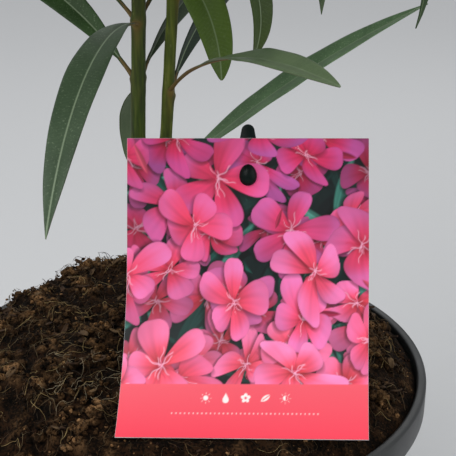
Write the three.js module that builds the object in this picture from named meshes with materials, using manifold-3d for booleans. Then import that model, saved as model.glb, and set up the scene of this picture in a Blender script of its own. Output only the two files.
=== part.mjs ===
// A young oleander in a round nursery pot, with a printed picture card pegged into the soil in front of it.
// Millimetres, +Z up. The origin is the centre of the pot's flat underside. The card faces -Y.
import * as THREE from 'three';
import { mergeVertices } from 'three/addons/utils/BufferGeometryUtils.js';
import Module from 'manifold-3d';

const wasm = await Module();
wasm.setup();

// Driving dimensions

const clearance = 0.3; // between two pieces that touch on the real plant

const pot = {
  height: 182,
  rimRadius: 120,
  rimHeight: 15,
  rimWall: 4.5,
  rimRound: 1.4, // of the rim's edges
  shoulderRadius: 114, // outside of the wall just under the rim
  footRadius: 90,
  footChamfer: 3,
  wall: 2.2,
  floor: 3,
  segments: 44,
  drainHoles: 6,
  drainHoleRadius: 6,
  drainHoleRing: 66,
  drainHoleSides: 10,
};

const soil = {
  edge: 177, // height of the soil where it meets the pot's wall
  crest: 206, // height of the root ball in the middle
  crestAt: [-9, 6],
  shoulder: 4.6, // the higher this power, the steeper the root ball's shoulder
  lump: 1.1, // half height of the larger lumps
  rings: 8,
};

const card = {
  width: 105,
  length: 130,
  thickness: 0.6,
  topCentre: [30.7, -24, 304],
  leanTop: 22.5, // degrees from upright along the straight upper part
  leanFoot: 50, // degrees from upright at the lower edge
  straight: 55, // length of the straight upper part
  drift: -2.8, // sideways bend of the lower edge
  curl: 4, // how far the lower left corner comes forward
  holeDown: 16, // of the peg's knob below the upper edge
  holeRadius: 2.7,
  columns: 5,
  rows: 9,
  bendSteps: 40, // over which the bend is summed
};

const peg = {
  width: 7,
  thickness: 2.4,
  above: 6.2, // stands above the card's upper edge
  length: 158,
  headRadius: 2.9, // of the rounded upper end
  headLength: 6, // over which the strip widens from its upper end
  point: 16, // length of the tapered foot
  neckRadius: 2.1,
  knobWide: 7.6,
  knobTall: 9.4,
  knobDeep: 2.8,
  tipHalf: 1, // half width of the foot's end
  neckSides: 12,
  knobSides: 14,
};

const stems = {
  left: { foot: [-22.8, 0], slope: 0.0375, fork: 404, footRadius: 3.75, tipRadius: 2.9 },
  right: { foot: [-13.2, 0], slope: 0.0705, fork: 413, footRadius: 3.0, tipRadius: 2.4 },
};
const footSunk = 4; // of the stems' feet under the crest of the soil
const rootFlare = 0.22; // share by which a stem is thicker at its foot
const flareHeight = 7; // over which most of the flare is gone
const flareRings = [0, 5, 10, 18]; // heights of the rings that follow the flare
const stemSides = 10;

// Each stem forks into a leader, which carries on upwards, and two side boughs. Angles are in degrees,
// and below says how far under the stem's tip the bough starts.
const bough = { turnUp: -32, startRadius: 2.2, tipRadius: 1.9, sides: 8 };
const boughs = [
  { name: 'left_front', stem: 'left', azimuth: 226, rise: 30, below: 19, length: 66, shoot: 186 },
  { name: 'left_back', stem: 'left', azimuth: 136, rise: 32, below: 9, length: 64, shoot: 180 },
  { name: 'left_leader', stem: 'left', azimuth: 178, rise: 66, below: 2, length: 62, shoot: 214 },
  { name: 'right_back', stem: 'right', azimuth: 50, rise: 31, below: 18, length: 68, shoot: 182 },
  { name: 'right_front', stem: 'right', azimuth: 316, rise: 31, below: 8, length: 66, shoot: 176 },
  { name: 'right_leader', stem: 'right', azimuth: 8, rise: 64, below: 2, length: 60, shoot: 205 },
];

// The growth rule of a leafy shoot: whorls of three leaves, turned by half a step from node to node
const shoot = {
  seed: 41,
  whorls: 11,
  whorlLeaves: 3,
  crowding: 1.35, // above 1 the whorls draw together towards the tip
  turn: 60,
  baseRadius: 1.9,
  tipRadius: 1.0,
  sides: 6,
  turnUp: -8,
  leafLength: 146,
  tipLength: 0.42, // of the longest leaf, for the leaves at the tip
  leafWidth: 0.115, // of the leaf's length
  spreadTip: 18, // angle from the shoot, in degrees
  spreadBase: 58,
  droopTip: 12,
  droopBase: 60,
  bend: 1.15, // above 1 the leaves bend more towards their tips
  lift: 0.3, // of a leaf's foot from the shoot's middle line
  lengthRange: [0.9, 1.03],
  droopRange: [0.7, 1.3],
  angleSpan: 9, // plus or minus, in degrees, as are the next four
  spreadSpan: 6,
  sweepSpan: 9,
  rollSpan: 16,
  twistSpan: 12,
  tries: 7, // of a leaf that isn't clear, each time turned, closed and shortened by these steps
  tryTurn: 9,
  tryClose: 4,
  tryShorten: 0.05,
  longFrom: 0.7, // of the longest leaf, from which a leaf has the finer stations
  ownGap: 3, // kept to the other leaves of the same shoot
  otherGap: 10, // kept to everything else, so each shoot has a space of its own
};

// Under this slanting plane the stems stay bare, but for their own low leaves.
const bareBelow = { height: 344, slope: 0.19 };

const leafBlade = {
  petiole: 0.07, // share of the leaf's length
  petioleHalf: 1.0,
  petioleThick: 1.9,
  thickness: 0.0125, // of the leaf's length
  thinning: 0.2, // lost towards the tip
  fold: 14, // degrees by which each half is raised
  tip: 0.72, // the lower this power, the blunter the tip
  foot: 0.95, // the same power at the petiole's end
  crowd: 0.92, // below 1 the widest place moves towards the petiole
  neckEase: 0.35, // over which a blade that starts further out reaches its full width
  sunk: 1.2, // of a low leaf's foot under the stem's surface
  stemStations: [0.07, 0.2, 0.38, 0.58, 0.78, 0.92],
  longStations: [0.07, 0.26, 0.52, 0.8],
  shortStations: [0.08, 0.4, 0.76],
};

// The leaves on the lower stretch of the stems, one piece each
const lowLeafColumns = [
  'name', 'stem', 'height', 'azimuth', 'rise', 'droop', 'sweep',
  'length', 'width', 'roll', 'twist', 'power', 'tip', 'neck',
];
const lowLeaves = [
  ['leaf_arching', 'right', 319.2, -61.6, 41.3, 50.5, 7.4, 128, 16.7, -8.3, 29.7, 0.76, 0.52, 0.25],
  ['leaf_slanting', 'right', 278.6, 4.1, 41.2, 15.2, -6.2, 141, 14.9, 25.2, -6.9, 1.2],
  ['leaf_rising', 'right', 316.5, 22.5, 79.8, 56.5, 0, 122.3, 16.5, 116.7, 18.9, 0.7],
  ['leaf_inner', 'left', 324.9, 48.1, 61.5, 53.8, 0, 102.6, 14.4, 101.9, 15.4, 0.82],
  ['leaf_outer', 'left', 324.6, 158, 51.6, 53.1, 0, 125, 15.5, -50, 0, 1.2],
  ['leaf_hanging', 'left', 380.7, -28.2, 21.1, 110.3, -3.3, 72.1, 17.1, 38.8, 1.5, 0.49, 0.44],
  ['leaf_drooping', 'right', 380, -44.7, 45.3, 162.3, 4.1, 83.5, 15.7, -6.7, 8.7, 0.9, 0.36],
  ['leaf_behind', 'left', 318.9, 106.7, 5.5, 101.2, -10, 64.9, 15, -50.6, -1.3, 0.68, 0.55],
  ['leaf_front', 'left', 349.3, -100, 15.2, 76, -1.5, 144, 15.5, 0.8, 0, 1],
  ['leaf_high_outer', 'left', 350.5, 146, 44, 52, 6, 132, 15.2, -14, 0, 1.1],
  ['leaf_high_back', 'left', 352, 66, 36, 44, -5, 128, 15, 10, 0, 1.1],
  ['leaf_high_right', 'right', 361, -14, 38, 46, 4, 134, 15.6, 12, 0, 1.1],
  ['leaf_high_far', 'right', 362, 112, 30, 36, 4, 120, 14.8, -8, 0, 1.1],
  ['leaf_top_outer', 'left', 375, 196, 42, 62, -4, 138, 15.8, 8, 0, 1.1],
  ['leaf_top_back', 'left', 376, 84, 44, 56, 3, 130, 15.2, 0, 0, 1.1],
  ['leaf_top_right', 'right', 384, 28, 34, 60, -6, 136, 15.6, -10, 0, 1.1],
];

const degrees = Math.PI / 180;

// Colours of the finishes

const finish = (color, roughness, metalness = 0) =>
  new THREE.MeshStandardMaterial({ color, roughness, metalness });
const finishes = {
  pot: finish(0x2b2d2e, 0.55),
  soil: finish(0x33241a, 0.95),
  card: finish(0xe0447c, 0.3),
  peg: finish(0x16211f, 0.45),
  bark: finish(0x4c5527, 0.6),
  leaf: finish(0x486138, 0.45),
};

// Solids

function solidOf(positions, triangles) {
  return new wasm.Manifold(
    new wasm.Mesh({
      numProp: 3,
      vertProperties: new Float32Array(positions),
      triVerts: new Uint32Array(triangles),
    }),
  );
}

function solidOfGeometry(geometry) {
  const bare = geometry.index ? geometry.toNonIndexed() : geometry.clone();
  bare.deleteAttribute('normal');
  bare.deleteAttribute('uv');
  const merged = mergeVertices(bare, 1e-3);
  return solidOf(merged.attributes.position.array, merged.index.array);
}

function meshOf(name, solid, material) {
  const shape = solid.getMesh();
  const geometry = new THREE.BufferGeometry();
  geometry.setAttribute('position', new THREE.BufferAttribute(shape.vertProperties, shape.numProp));
  geometry.setIndex(new THREE.BufferAttribute(shape.triVerts, 1));
  const flat = geometry.toNonIndexed();
  flat.computeVertexNormals();
  const mesh = new THREE.Mesh(flat, material);
  mesh.name = name;
  return mesh;
}

// A closed solid from rings of equal size, with a flat cap, or a point where a ring is one point.
function loft(rings) {
  const positions = [];
  const triangles = [];
  const starts = rings.map((ring) => {
    const start = positions.length / 3;
    ring.forEach((p) => positions.push(p.x, p.y, p.z));
    return start;
  });
  const sides = Math.max(...rings.map((ring) => ring.length));
  for (let r = 0; r + 1 < rings.length; r++) {
    const low = starts[r];
    const high = starts[r + 1];
    for (let i = 0; i < sides; i++) {
      const j = (i + 1) % sides;
      if (rings[r].length === 1) triangles.push(low, high + j, high + i);
      else if (rings[r + 1].length === 1) triangles.push(low + i, low + j, high);
      else triangles.push(low + i, low + j, high + j, low + i, high + j, high + i);
    }
  }
  const cap = (start, flip) => {
    for (let i = 1; i + 1 < sides; i++) {
      if (flip) triangles.push(start, start + i + 1, start + i);
      else triangles.push(start, start + i, start + i + 1);
    }
  };
  if (rings[0].length > 1) cap(starts[0], true);
  if (rings[rings.length - 1].length > 1) cap(starts[rings.length - 1], false);
  const solid = solidOf(positions, triangles);
  return solid.volume() < 0 ? solidOf(positions, triangles.reverse()) : solid;
}

// Two directions square to a limb, made from +X, which no limb runs along.
function squareTo(tangent) {
  const first = new THREE.Vector3(1, 0, 0).addScaledVector(tangent, -tangent.x).normalize();
  return [first, new THREE.Vector3().crossVectors(tangent, first)];
}

function limbSolid(path, radiusAt, sides, extra = 0) {
  const rings = path.map(({ point, tangent, t }) => {
    const [first, second] = squareTo(tangent);
    const radius = radiusAt(t) + extra;
    return Array.from({ length: sides }, (_, i) => {
      const angle = (i / sides) * 2 * Math.PI;
      return point
        .clone()
        .addScaledVector(first, radius * Math.cos(angle))
        .addScaledVector(second, radius * Math.sin(angle));
    });
  });
  return loft(rings);
}

// A line of growth that starts at a point, rises, and bends over or up on its way.
const growthSteps = 24;

function directionAt(line, t) {
  const rise = (line.rise - line.droop * t ** line.power) * degrees;
  const azimuth = (line.azimuth + line.sweep * t) * degrees;
  return new THREE.Vector3(
    Math.cos(rise) * Math.cos(azimuth),
    Math.cos(rise) * Math.sin(azimuth),
    Math.sin(rise),
  );
}

function growthPoints(line) {
  const points = [line.base.clone()];
  for (let i = 0; i < growthSteps; i++) {
    const step = directionAt(line, (i + 0.5) / growthSteps).multiplyScalar(line.length / growthSteps);
    points.push(points[i].clone().add(step));
  }
  return points;
}

function pointAt(points, t) {
  const place = Math.min(t * growthSteps, growthSteps - 1e-9);
  const i = Math.floor(place);
  return points[i].clone().lerp(points[i + 1], place - i);
}

function pathOf(line, stations) {
  const points = growthPoints(line);
  return stations.map((t) => ({ point: pointAt(points, t), tangent: directionAt(line, t), t }));
}

const evenly = (count) => Array.from({ length: count + 1 }, (_, i) => i / count);

// Leaves

function halfWidth(leaf, t) {
  if (t <= leafBlade.petiole) return leafBlade.petioleHalf;
  const along = ((t - leafBlade.petiole) / (1 - leafBlade.petiole)) ** leafBlade.crowd;
  const power = leafBlade.foot + ((leaf.tip ?? leafBlade.tip) - leafBlade.foot) * along;
  const blade = (leaf.width / 2) * Math.sin(Math.PI * along) ** power;
  const eased = leaf.neck ? Math.min(1, Math.max(0, (t - leaf.neck) / leafBlade.neckEase)) : 1;
  return Math.max(leafBlade.petioleHalf * (1 - along), blade * eased);
}

function leafFrame(leaf, t) {
  const tangent = directionAt(leaf, t);
  const azimuth = (leaf.azimuth + leaf.sweep * t) * degrees;
  const flat = new THREE.Vector3(-Math.sin(azimuth), Math.cos(azimuth), 0);
  const up = new THREE.Vector3().crossVectors(tangent, flat);
  const roll = (leaf.roll + leaf.twist * t) * degrees;
  const side = flat.clone().multiplyScalar(Math.cos(roll)).addScaledVector(up, Math.sin(roll));
  const normal = up.clone().multiplyScalar(Math.cos(roll)).addScaledVector(flat, -Math.sin(roll));
  return { side, normal };
}

function leafSolid(leaf, stations) {
  const points = growthPoints(leaf);
  const fold = leafBlade.fold * degrees;
  const section = (t, half, thick) => {
    const middle = pointAt(points, t);
    const { side, normal } = leafFrame(leaf, t);
    const place = (across, up) => middle.clone().addScaledVector(side, across).addScaledVector(normal, up);
    const raised = half * Math.sin(fold) * (t > leafBlade.petiole ? 1 : 0);
    return [
      place(half * Math.cos(fold), raised),
      place(0, thick / 2),
      place(-half * Math.cos(fold), raised),
      place(0, -thick / 2),
    ];
  };
  const bladeThick = (t) => leafBlade.thickness * leaf.length * (1 - leafBlade.thinning * t);
  const thick = (t) => (t > stations[0] ? bladeThick(t) : leafBlade.petioleThick);
  const rings = [0, ...stations].map((t) => section(t, halfWidth(leaf, t), thick(t)));
  rings.push([pointAt(points, 1)]);
  return loft(rings);
}

// Stems

const footHeight = soil.crest - footSunk;
const limbRings = 5;

function stemPoint(stem, z) {
  return new THREE.Vector3(stem.foot[0] + stem.slope * (z - footHeight), stem.foot[1], z);
}

function stemRadius(stem, z) {
  const t = (z - footHeight) / (stem.fork - footHeight);
  const flare = rootFlare * Math.exp(-(z - footHeight) / flareHeight);
  return (stem.footRadius + (stem.tipRadius - stem.footRadius) * t) * (1 + flare);
}

function stemSolid(stem, extra = 0) {
  const heights = flareRings.map((h) => footHeight + h);
  heights[0] += clearance - extra;
  const flareTop = heights[heights.length - 1];
  for (let i = 1; i <= limbRings; i++) {
    heights.push(flareTop + ((stem.fork + extra - flareTop) * i) / limbRings);
  }
  const rings = heights.map((z) => {
    const middle = stemPoint(stem, z);
    const radius = stemRadius(stem, z) + extra;
    return Array.from({ length: stemSides }, (_, i) => {
      const angle = (i / stemSides) * 2 * Math.PI;
      const across = radius * Math.cos(angle);
      return new THREE.Vector3(middle.x + across, middle.y + radius * Math.sin(angle), z);
    });
  });
  return loft(rings);
}

// A line of growth that starts inside a stem and comes out of its side.
function lineFromStem(stem, z, sunk, values) {
  const middle = stemPoint(stem, z);
  const azimuth = values.azimuth * degrees;
  const reach = Math.max(0, stemRadius(stem, z) - sunk);
  const base = middle.add(new THREE.Vector3(Math.cos(azimuth) * reach, Math.sin(azimuth) * reach, 0));
  return { ...values, base };
}

// Boughs and the leafy shoots that grow on from them

const boughRadius = (t) => bough.startRadius + (bough.tipRadius - bough.startRadius) * t;
const shootRadius = (t) => shoot.baseRadius + (shoot.tipRadius - shoot.baseRadius) * t;

function boughLine(spec) {
  const stem = stems[spec.stem];
  return lineFromStem(stem, stem.fork - spec.below, bough.startRadius, {
    azimuth: spec.azimuth,
    rise: spec.rise,
    droop: bough.turnUp * Math.cos(spec.rise * degrees),
    sweep: 0,
    length: spec.length,
    power: 1,
  });
}

function shootLine(spec, line) {
  const tip = directionAt(line, 1);
  return {
    base: pointAt(growthPoints(line), 1).addScaledVector(tip, clearance),
    azimuth: spec.azimuth,
    rise: line.rise - line.droop,
    droop: shoot.turnUp * Math.cos(line.rise * degrees),
    sweep: 0,
    length: spec.shoot,
    power: 1,
  };
}

// The next number of a seeded run, from 0 to 1
let state = shoot.seed;
function random() {
  state = (state * 1664525 + 1013904223) % 4294967296;
  return state / 4294967296;
}
const between = (low, high) => low + (high - low) * random();
const about = (span) => between(-span, span);

// Points over a leaf or limb, by which the leaves keep clear of each other
function groupOf(owner, points, radius) {
  const centre = points.reduce((sum, p) => sum.add(p), new THREE.Vector3()).divideScalar(points.length);
  const reach = Math.max(...points.map((p) => p.distanceTo(centre)));
  return { owner, points, radius, centre, reach };
}

const cloudSteps = { leaf: 18, limb: 20, stem: 40, skipped: 4 }; // the steps nearest the foot are skipped
const cloudShares = [-1, -0.5, 0, 0.5, 1]; // places across a leaf, in half widths

function leafPoints(leaf) {
  const points = growthPoints(leaf);
  const stations = evenly(cloudSteps.leaf).slice(cloudSteps.skipped);
  return stations.flatMap((t) => {
    const middle = pointAt(points, t);
    const half = halfWidth(leaf, t);
    const { side } = leafFrame(leaf, t);
    return cloudShares.map((share) => middle.clone().addScaledVector(side, half * share));
  });
}

function limbPoints(line, skipped = 0) {
  const points = growthPoints(line);
  return evenly(cloudSteps.limb).slice(skipped).map((t) => pointAt(points, t));
}

const taken = []; // what later leaves keep clear of

function isClear(group) {
  return taken.every((other) => {
    const gap = other.radius + (other.owner === group.owner ? shoot.ownGap : shoot.otherGap);
    if (group.centre.distanceTo(other.centre) > group.reach + other.reach + gap) return true;
    return group.points.every((p) => other.points.every((q) => p.distanceToSquared(q) > gap * gap));
  });
}

const isAboveBare = (points) => points.every((p) => p.z + bareBelow.slope * p.y > bareBelow.height);

// One leaf of a whorl: first as the rule gives it, then turned a little each time until it is clear.
function whorlLeaf(axis, axisPoints, owner, k, angle) {
  const u = k / (shoot.whorls - 1);
  const t = 0.02 + 0.97 * (1 - (1 - u) ** shoot.crowding);
  const tangent = directionAt(axis, t);
  const [first, second] = squareTo(tangent);
  const base = pointAt(axisPoints, t);
  const full = shoot.leafLength * (1 - (1 - shoot.tipLength) * u ** 1.7);
  const length = full * between(...shoot.lengthRange);
  const widest = shoot.spreadTip + shoot.spreadBase * (1 - u) ** 0.8 + about(shoot.spreadSpan);
  const bends = {
    droop: (shoot.droopTip + shoot.droopBase * (1 - u)) * between(...shoot.droopRange),
    sweep: about(shoot.sweepSpan),
    roll: about(shoot.rollSpan),
    twist: about(shoot.twistSpan),
    power: shoot.bend,
  };
  for (let attempt = 0; attempt < shoot.tries; attempt++) {
    const shift = (attempt % 2 ? 1 : -1) * Math.ceil(attempt / 2);
    const around = (angle + shoot.tryTurn * shift) * degrees;
    const spread = (widest - shoot.tryClose * attempt) * degrees;
    const size = length * (1 - shoot.tryShorten * attempt);
    const out = tangent
      .clone()
      .multiplyScalar(Math.cos(spread))
      .addScaledVector(first, Math.sin(spread) * Math.cos(around))
      .addScaledVector(second, Math.sin(spread) * Math.sin(around));
    const leaf = {
      ...bends,
      base: base.clone().addScaledVector(out, shoot.lift),
      azimuth: Math.atan2(out.y, out.x) / degrees,
      rise: Math.asin(out.z) / degrees,
      length: size,
      width: size * shoot.leafWidth,
    };
    const group = groupOf(owner, leafPoints(leaf), 0);
    if (isAboveBare(group.points) && isClear(group)) {
      taken.push(group);
      return leaf;
    }
  }
  return null;
}

function shootLeaves(axis, owner) {
  const axisPoints = growthPoints(axis);
  const apart = 360 / shoot.whorlLeaves;
  const phase = between(0, apart);
  const leaves = [];
  for (let k = 0; k < shoot.whorls; k++) {
    for (let i = 0; i < shoot.whorlLeaves; i++) {
      const angle = phase + shoot.turn * k + apart * i + about(shoot.angleSpan);
      const leaf = whorlLeaf(axis, axisPoints, owner, k, angle);
      if (leaf) leaves.push(leaf);
    }
  }
  return leaves;
}

// The pot, its soil, the card and its peg

const rimUnder = 2; // height of the rim's inner edge above its outer lower edge
const wallUnder = 3; // depth of the wall's inner edge below the rim

function potSolid() {
  const { height, rimRadius, rimWall, rimRound, shoulderRadius } = pot;
  const { footRadius, footChamfer, wall, floor } = pot;
  const shoulder = height - pot.rimHeight;
  const mouth = rimRadius - rimWall;
  const profile = [
    [0, 0],
    [footRadius - footChamfer, 0],
    [footRadius, footChamfer],
    [shoulderRadius, shoulder],
    [rimRadius - rimRound, shoulder],
    [rimRadius, shoulder + rimRound],
    [rimRadius, height - rimRound],
    [rimRadius - rimRound, height],
    [mouth + rimRound, height],
    [mouth, height - rimRound],
    [mouth, shoulder + rimUnder],
    [shoulderRadius - wall, shoulder - wallUnder],
    [footRadius - wall, floor],
    [0, floor],
  ].map(([x, y]) => new THREE.Vector2(x, y));
  const lathe = new THREE.LatheGeometry(profile, pot.segments);
  lathe.rotateX(Math.PI / 2);
  let solid = solidOfGeometry(lathe);
  for (let i = 0; i < pot.drainHoles; i++) {
    const angle = ((i + 0.5) / pot.drainHoles) * 2 * Math.PI;
    const { drainHoleRadius, drainHoleSides } = pot;
    const hole = new THREE.CylinderGeometry(drainHoleRadius, drainHoleRadius, 3 * floor, drainHoleSides);
    hole.rotateX(Math.PI / 2);
    hole.translate(pot.drainHoleRing * Math.cos(angle), pot.drainHoleRing * Math.sin(angle), 0);
    solid = solid.subtract(solidOfGeometry(hole));
  }
  return solid;
}

// Height of the soil's surface, with its larger lumps
function soilHeight(x, y) {
  const radius = pot.rimRadius - pot.rimWall - clearance;
  const edgeShare = Math.min(1, Math.hypot(x, y) / radius);
  const [cx, cy] = soil.crestAt;
  const pull = 1 - edgeShare;
  const share = Math.min(1, Math.hypot(x - cx * pull, y - cy * pull) / radius);
  const rise = (soil.crest - soil.edge) * (1 - share ** soil.shoulder) ** 0.9;
  const lumps =
    Math.sin(x * 0.21 + 1.3) * Math.cos(y * 0.17 - 0.6) +
    0.6 * Math.sin(x * 0.09 - y * 0.13 + 2) +
    0.5 * Math.cos(x * 0.33 + y * 0.27);
  return soil.edge + rise + soil.lump * lumps * (1 - share ** 8);
}

function soilSolid() {
  const ring = (radius, height) =>
    Array.from({ length: pot.segments }, (_, i) => {
      const angle = (i / pot.segments) * 2 * Math.PI;
      const x = radius * Math.sin(angle);
      const y = radius * Math.cos(angle);
      return new THREE.Vector3(x, y, typeof height === 'number' ? height : height(x, y));
    });
  const shoulder = pot.height - pot.rimHeight;
  const inset = pot.wall + clearance;
  const top = pot.rimRadius - pot.rimWall - 2 * clearance;
  const rings = [
    ring(pot.footRadius - inset, pot.floor + clearance),
    ring(pot.shoulderRadius - inset, shoulder - wallUnder),
    ring(top, shoulder + rimUnder + clearance),
  ];
  for (let i = 0; i < soil.rings; i++) {
    const share = 1 - (i / soil.rings) ** 1.25;
    rings.push(ring(top * share - 0.01, soilHeight));
  }
  rings.push([new THREE.Vector3(0, 0, soilHeight(0, 0))]);
  return loft(rings);
}

// The card's middle surface: across from its centre line, down from its upper edge.
function cardPoint(across, down) {
  const steps = card.bendSteps;
  const lean = (s) => {
    const bent = Math.max(0, (s - card.straight) / (card.length - card.straight));
    return (card.leanTop + (card.leanFoot - card.leanTop) * bent) * degrees;
  };
  let y = 0;
  let z = 0;
  for (let i = 0; i < steps; i++) {
    const s = ((i + 0.5) / steps) * down;
    y -= (Math.sin(lean(s)) * down) / steps;
    z -= (Math.cos(lean(s)) * down) / steps;
  }
  const bent = Math.max(0, (down - card.straight) / (card.length - card.straight));
  const corner = Math.max(0, 0.5 - across / card.width);
  const normal = new THREE.Vector3(0, -Math.cos(lean(down)), Math.sin(lean(down)));
  const [x0, y0, z0] = card.topCentre;
  const point = new THREE.Vector3(x0 + across + card.drift * bent ** 1.5, y0 + y, z0 + z);
  point.addScaledVector(normal, card.curl * corner * bent ** 2);
  return { point, normal };
}

function cardSolid(extra = 0) {
  const half = card.thickness / 2 + extra;
  const edge = card.width / 2 + extra;
  const rings = [];
  for (let r = 0; r <= card.rows; r++) {
    const down = (card.length * r) / card.rows;
    const front = [];
    const back = [];
    for (let c = 0; c <= card.columns; c++) {
      const across = -edge + (2 * edge * c) / card.columns;
      const { point, normal } = cardPoint(across, down);
      front.push(point.clone().addScaledVector(normal, half));
      back.unshift(point.clone().addScaledVector(normal, -half));
    }
    rings.push([...front, ...back]);
  }
  if (extra) {
    const lean = card.leanFoot * degrees;
    const down = new THREE.Vector3(0, -Math.sin(lean), -Math.cos(lean));
    rings.push(rings[rings.length - 1].map((p) => p.clone().addScaledVector(down, extra)));
  }
  return loft(rings);
}

// The peg's own frame: origin where the knob's axis meets the card, Y through the card, Z up along it.
function pegPlace() {
  const { point, normal } = cardPoint(0, card.holeDown);
  const up = new THREE.Vector3(0, Math.sin(card.leanTop * degrees), Math.cos(card.leanTop * degrees));
  const right = new THREE.Vector3(1, 0, 0);
  return new THREE.Matrix4().makeBasis(right, normal.clone().negate(), up).setPosition(point);
}

function pegSolid(extra = 0) {
  const half = peg.width / 2 + extra;
  const head = peg.headRadius + extra;
  const top = card.holeDown + peg.above;
  const outline = new THREE.Shape();
  outline.moveTo(-half, top - peg.headLength);
  outline.lineTo(-head, top - peg.headRadius);
  outline.absarc(0, top - peg.headRadius, head, Math.PI, 0, true);
  outline.lineTo(half, top - peg.headLength);
  outline.lineTo(half, top - peg.length + peg.point);
  outline.lineTo(peg.tipHalf + extra, top - peg.length - extra);
  outline.lineTo(-peg.tipHalf - extra, top - peg.length - extra);
  outline.lineTo(-half, top - peg.length + peg.point);
  const blade = new THREE.ExtrudeGeometry(outline, {
    depth: peg.thickness + 2 * extra,
    bevelEnabled: false,
    curveSegments: 10,
  });
  blade.rotateX(Math.PI / 2);
  const behind = card.thickness / 2 + clearance;
  blade.translate(0, behind + peg.thickness + extra, 0);
  let solid = solidOfGeometry(blade);
  if (!extra) {
    const sunk = peg.thickness / 2; // of the neck in the strip and in the knob
    const reach = 2 * (behind + sunk);
    const neck = new THREE.CylinderGeometry(peg.neckRadius, peg.neckRadius, reach, peg.neckSides);
    const quarter = Math.PI / 2;
    const dome = evenly(4).map((t) => new THREE.Vector2(Math.cos(t * quarter), Math.sin(t * quarter)));
    dome[dome.length - 1].x = 0;
    const knob = new THREE.LatheGeometry([new THREE.Vector2(0, 0), ...dome], peg.knobSides);
    knob.rotateX(Math.PI);
    knob.scale(peg.knobWide / 2, peg.knobDeep, peg.knobTall / 2);
    knob.translate(0, -behind, 0);
    solid = solid.add(solidOfGeometry(neck)).add(solidOfGeometry(knob));
  }
  const turned = pegPlace().elements;
  return solid.transform(Array.from(turned));
}

// The whole plant

const wholeOf = (solid) =>
  solid.decompose().reduce((most, part) => (part.volume() > most.volume() ? part : most));

function addLowLeaves(add, clearOfStems) {
  lowLeaves.forEach((row) => {
    const values = Object.fromEntries(lowLeafColumns.map((column, i) => [column, row[i]]));
    const leaf = lineFromStem(stems[values.stem], values.height, leafBlade.sunk, values);
    taken.push(groupOf(values.name, leafPoints(leaf), 0));
    add(values.name, wholeOf(clearOfStems(leafSolid(leaf, leafBlade.stemStations))), finishes.leaf);
  });
}

function addCrown(add, clearOfStems) {
  const limbs = boughs.map((spec) => {
    const line = boughLine(spec);
    const axis = shootLine(spec, line);
    taken.push(groupOf(spec.name, limbPoints(line, cloudSteps.skipped), 0));
    taken.push(groupOf(spec.name, limbPoints(axis), 0));
    return { spec, line, axis };
  });
  limbs.forEach(({ spec, line, axis }) => {
    const limb = limbSolid(pathOf(line, evenly(limbRings)), boughRadius, bough.sides);
    add(`bough_${spec.name}`, wholeOf(clearOfStems(limb)), finishes.bark);
    const mass = shootLeaves(axis, spec.name).reduce((grown, leaf) => {
      const isLong = leaf.length > shoot.leafLength * shoot.longFrom;
      return grown.add(leafSolid(leaf, isLong ? leafBlade.longStations : leafBlade.shortStations));
    }, limbSolid(pathOf(axis, evenly(limbRings)), shootRadius, shoot.sides));
    add(`foliage_${spec.name}`, wholeOf(mass), finishes.leaf);
  });
}

// The round seat that a stem's foot stands in
function seatSolid(stem) {
  const depth = 20;
  const radius = stem.footRadius * (1 + rootFlare) + 2 * clearance;
  const seat = new THREE.CylinderGeometry(radius, radius, depth, stemSides);
  seat.rotateX(Math.PI / 2);
  seat.translate(stem.foot[0], stem.foot[1], footHeight + depth / 2);
  return solidOfGeometry(seat);
}

function punchedCard() {
  const { holeRadius, thickness } = card;
  const punch = new THREE.CylinderGeometry(holeRadius, holeRadius, 10 * thickness, peg.knobSides);
  return cardSolid().subtract(solidOfGeometry(punch).transform(Array.from(pegPlace().elements)));
}

function build() {
  const plant = new THREE.Group();
  const add = (name, solid, material) => plant.add(meshOf(name, solid, material));
  const fatStems = Object.values(stems).map((stem) => stemSolid(stem, clearance));
  const clearOfStems = (solid) => fatStems.reduce((rest, fat) => rest.subtract(fat), solid);

  Object.entries(stems).forEach(([name, stem]) => {
    add(`stem_${name}`, stemSolid(stem), finishes.bark);
    const heightAt = (t) => footHeight + (stem.fork - footHeight) * t;
    const points = evenly(cloudSteps.stem).map((t) => stemPoint(stem, heightAt(t)));
    taken.push(groupOf(`stem_${name}`, points, stem.footRadius - shoot.ownGap));
  });
  addLowLeaves(add, clearOfStems);
  addCrown(add, clearOfStems);

  const ground = Object.values(stems).reduce(
    (rest, stem) => rest.subtract(seatSolid(stem)),
    soilSolid().subtract(pegSolid(clearance)).subtract(cardSolid(clearance)),
  );
  add('soil', wholeOf(ground), finishes.soil);
  add('pot', potSolid(), finishes.pot);
  add('card', punchedCard(), finishes.card);
  add('peg', pegSolid(), finishes.peg);
  return plant;
}

export default build();
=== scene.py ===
# A young oleander in its nursery pot, with a picture card pegged into the soil.
# Lengths are in millimetres, in the frame of the solids, and become metres when a mesh is finished.
import math

import bmesh
import bpy
import numpy as np
from mathutils import Matrix, Vector, noise


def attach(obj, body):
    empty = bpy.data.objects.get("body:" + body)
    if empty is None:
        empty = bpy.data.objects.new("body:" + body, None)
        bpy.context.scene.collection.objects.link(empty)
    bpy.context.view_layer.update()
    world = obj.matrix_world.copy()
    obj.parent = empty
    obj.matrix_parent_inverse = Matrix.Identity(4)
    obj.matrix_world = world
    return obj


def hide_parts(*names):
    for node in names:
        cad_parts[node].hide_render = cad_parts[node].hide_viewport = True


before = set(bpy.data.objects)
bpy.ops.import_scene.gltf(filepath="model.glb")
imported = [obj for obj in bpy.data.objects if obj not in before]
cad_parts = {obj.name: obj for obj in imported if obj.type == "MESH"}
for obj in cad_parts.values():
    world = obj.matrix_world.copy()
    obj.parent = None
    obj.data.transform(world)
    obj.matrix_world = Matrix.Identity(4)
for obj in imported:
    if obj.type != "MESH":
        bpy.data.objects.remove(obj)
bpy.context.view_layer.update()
mm = 0.001
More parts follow.
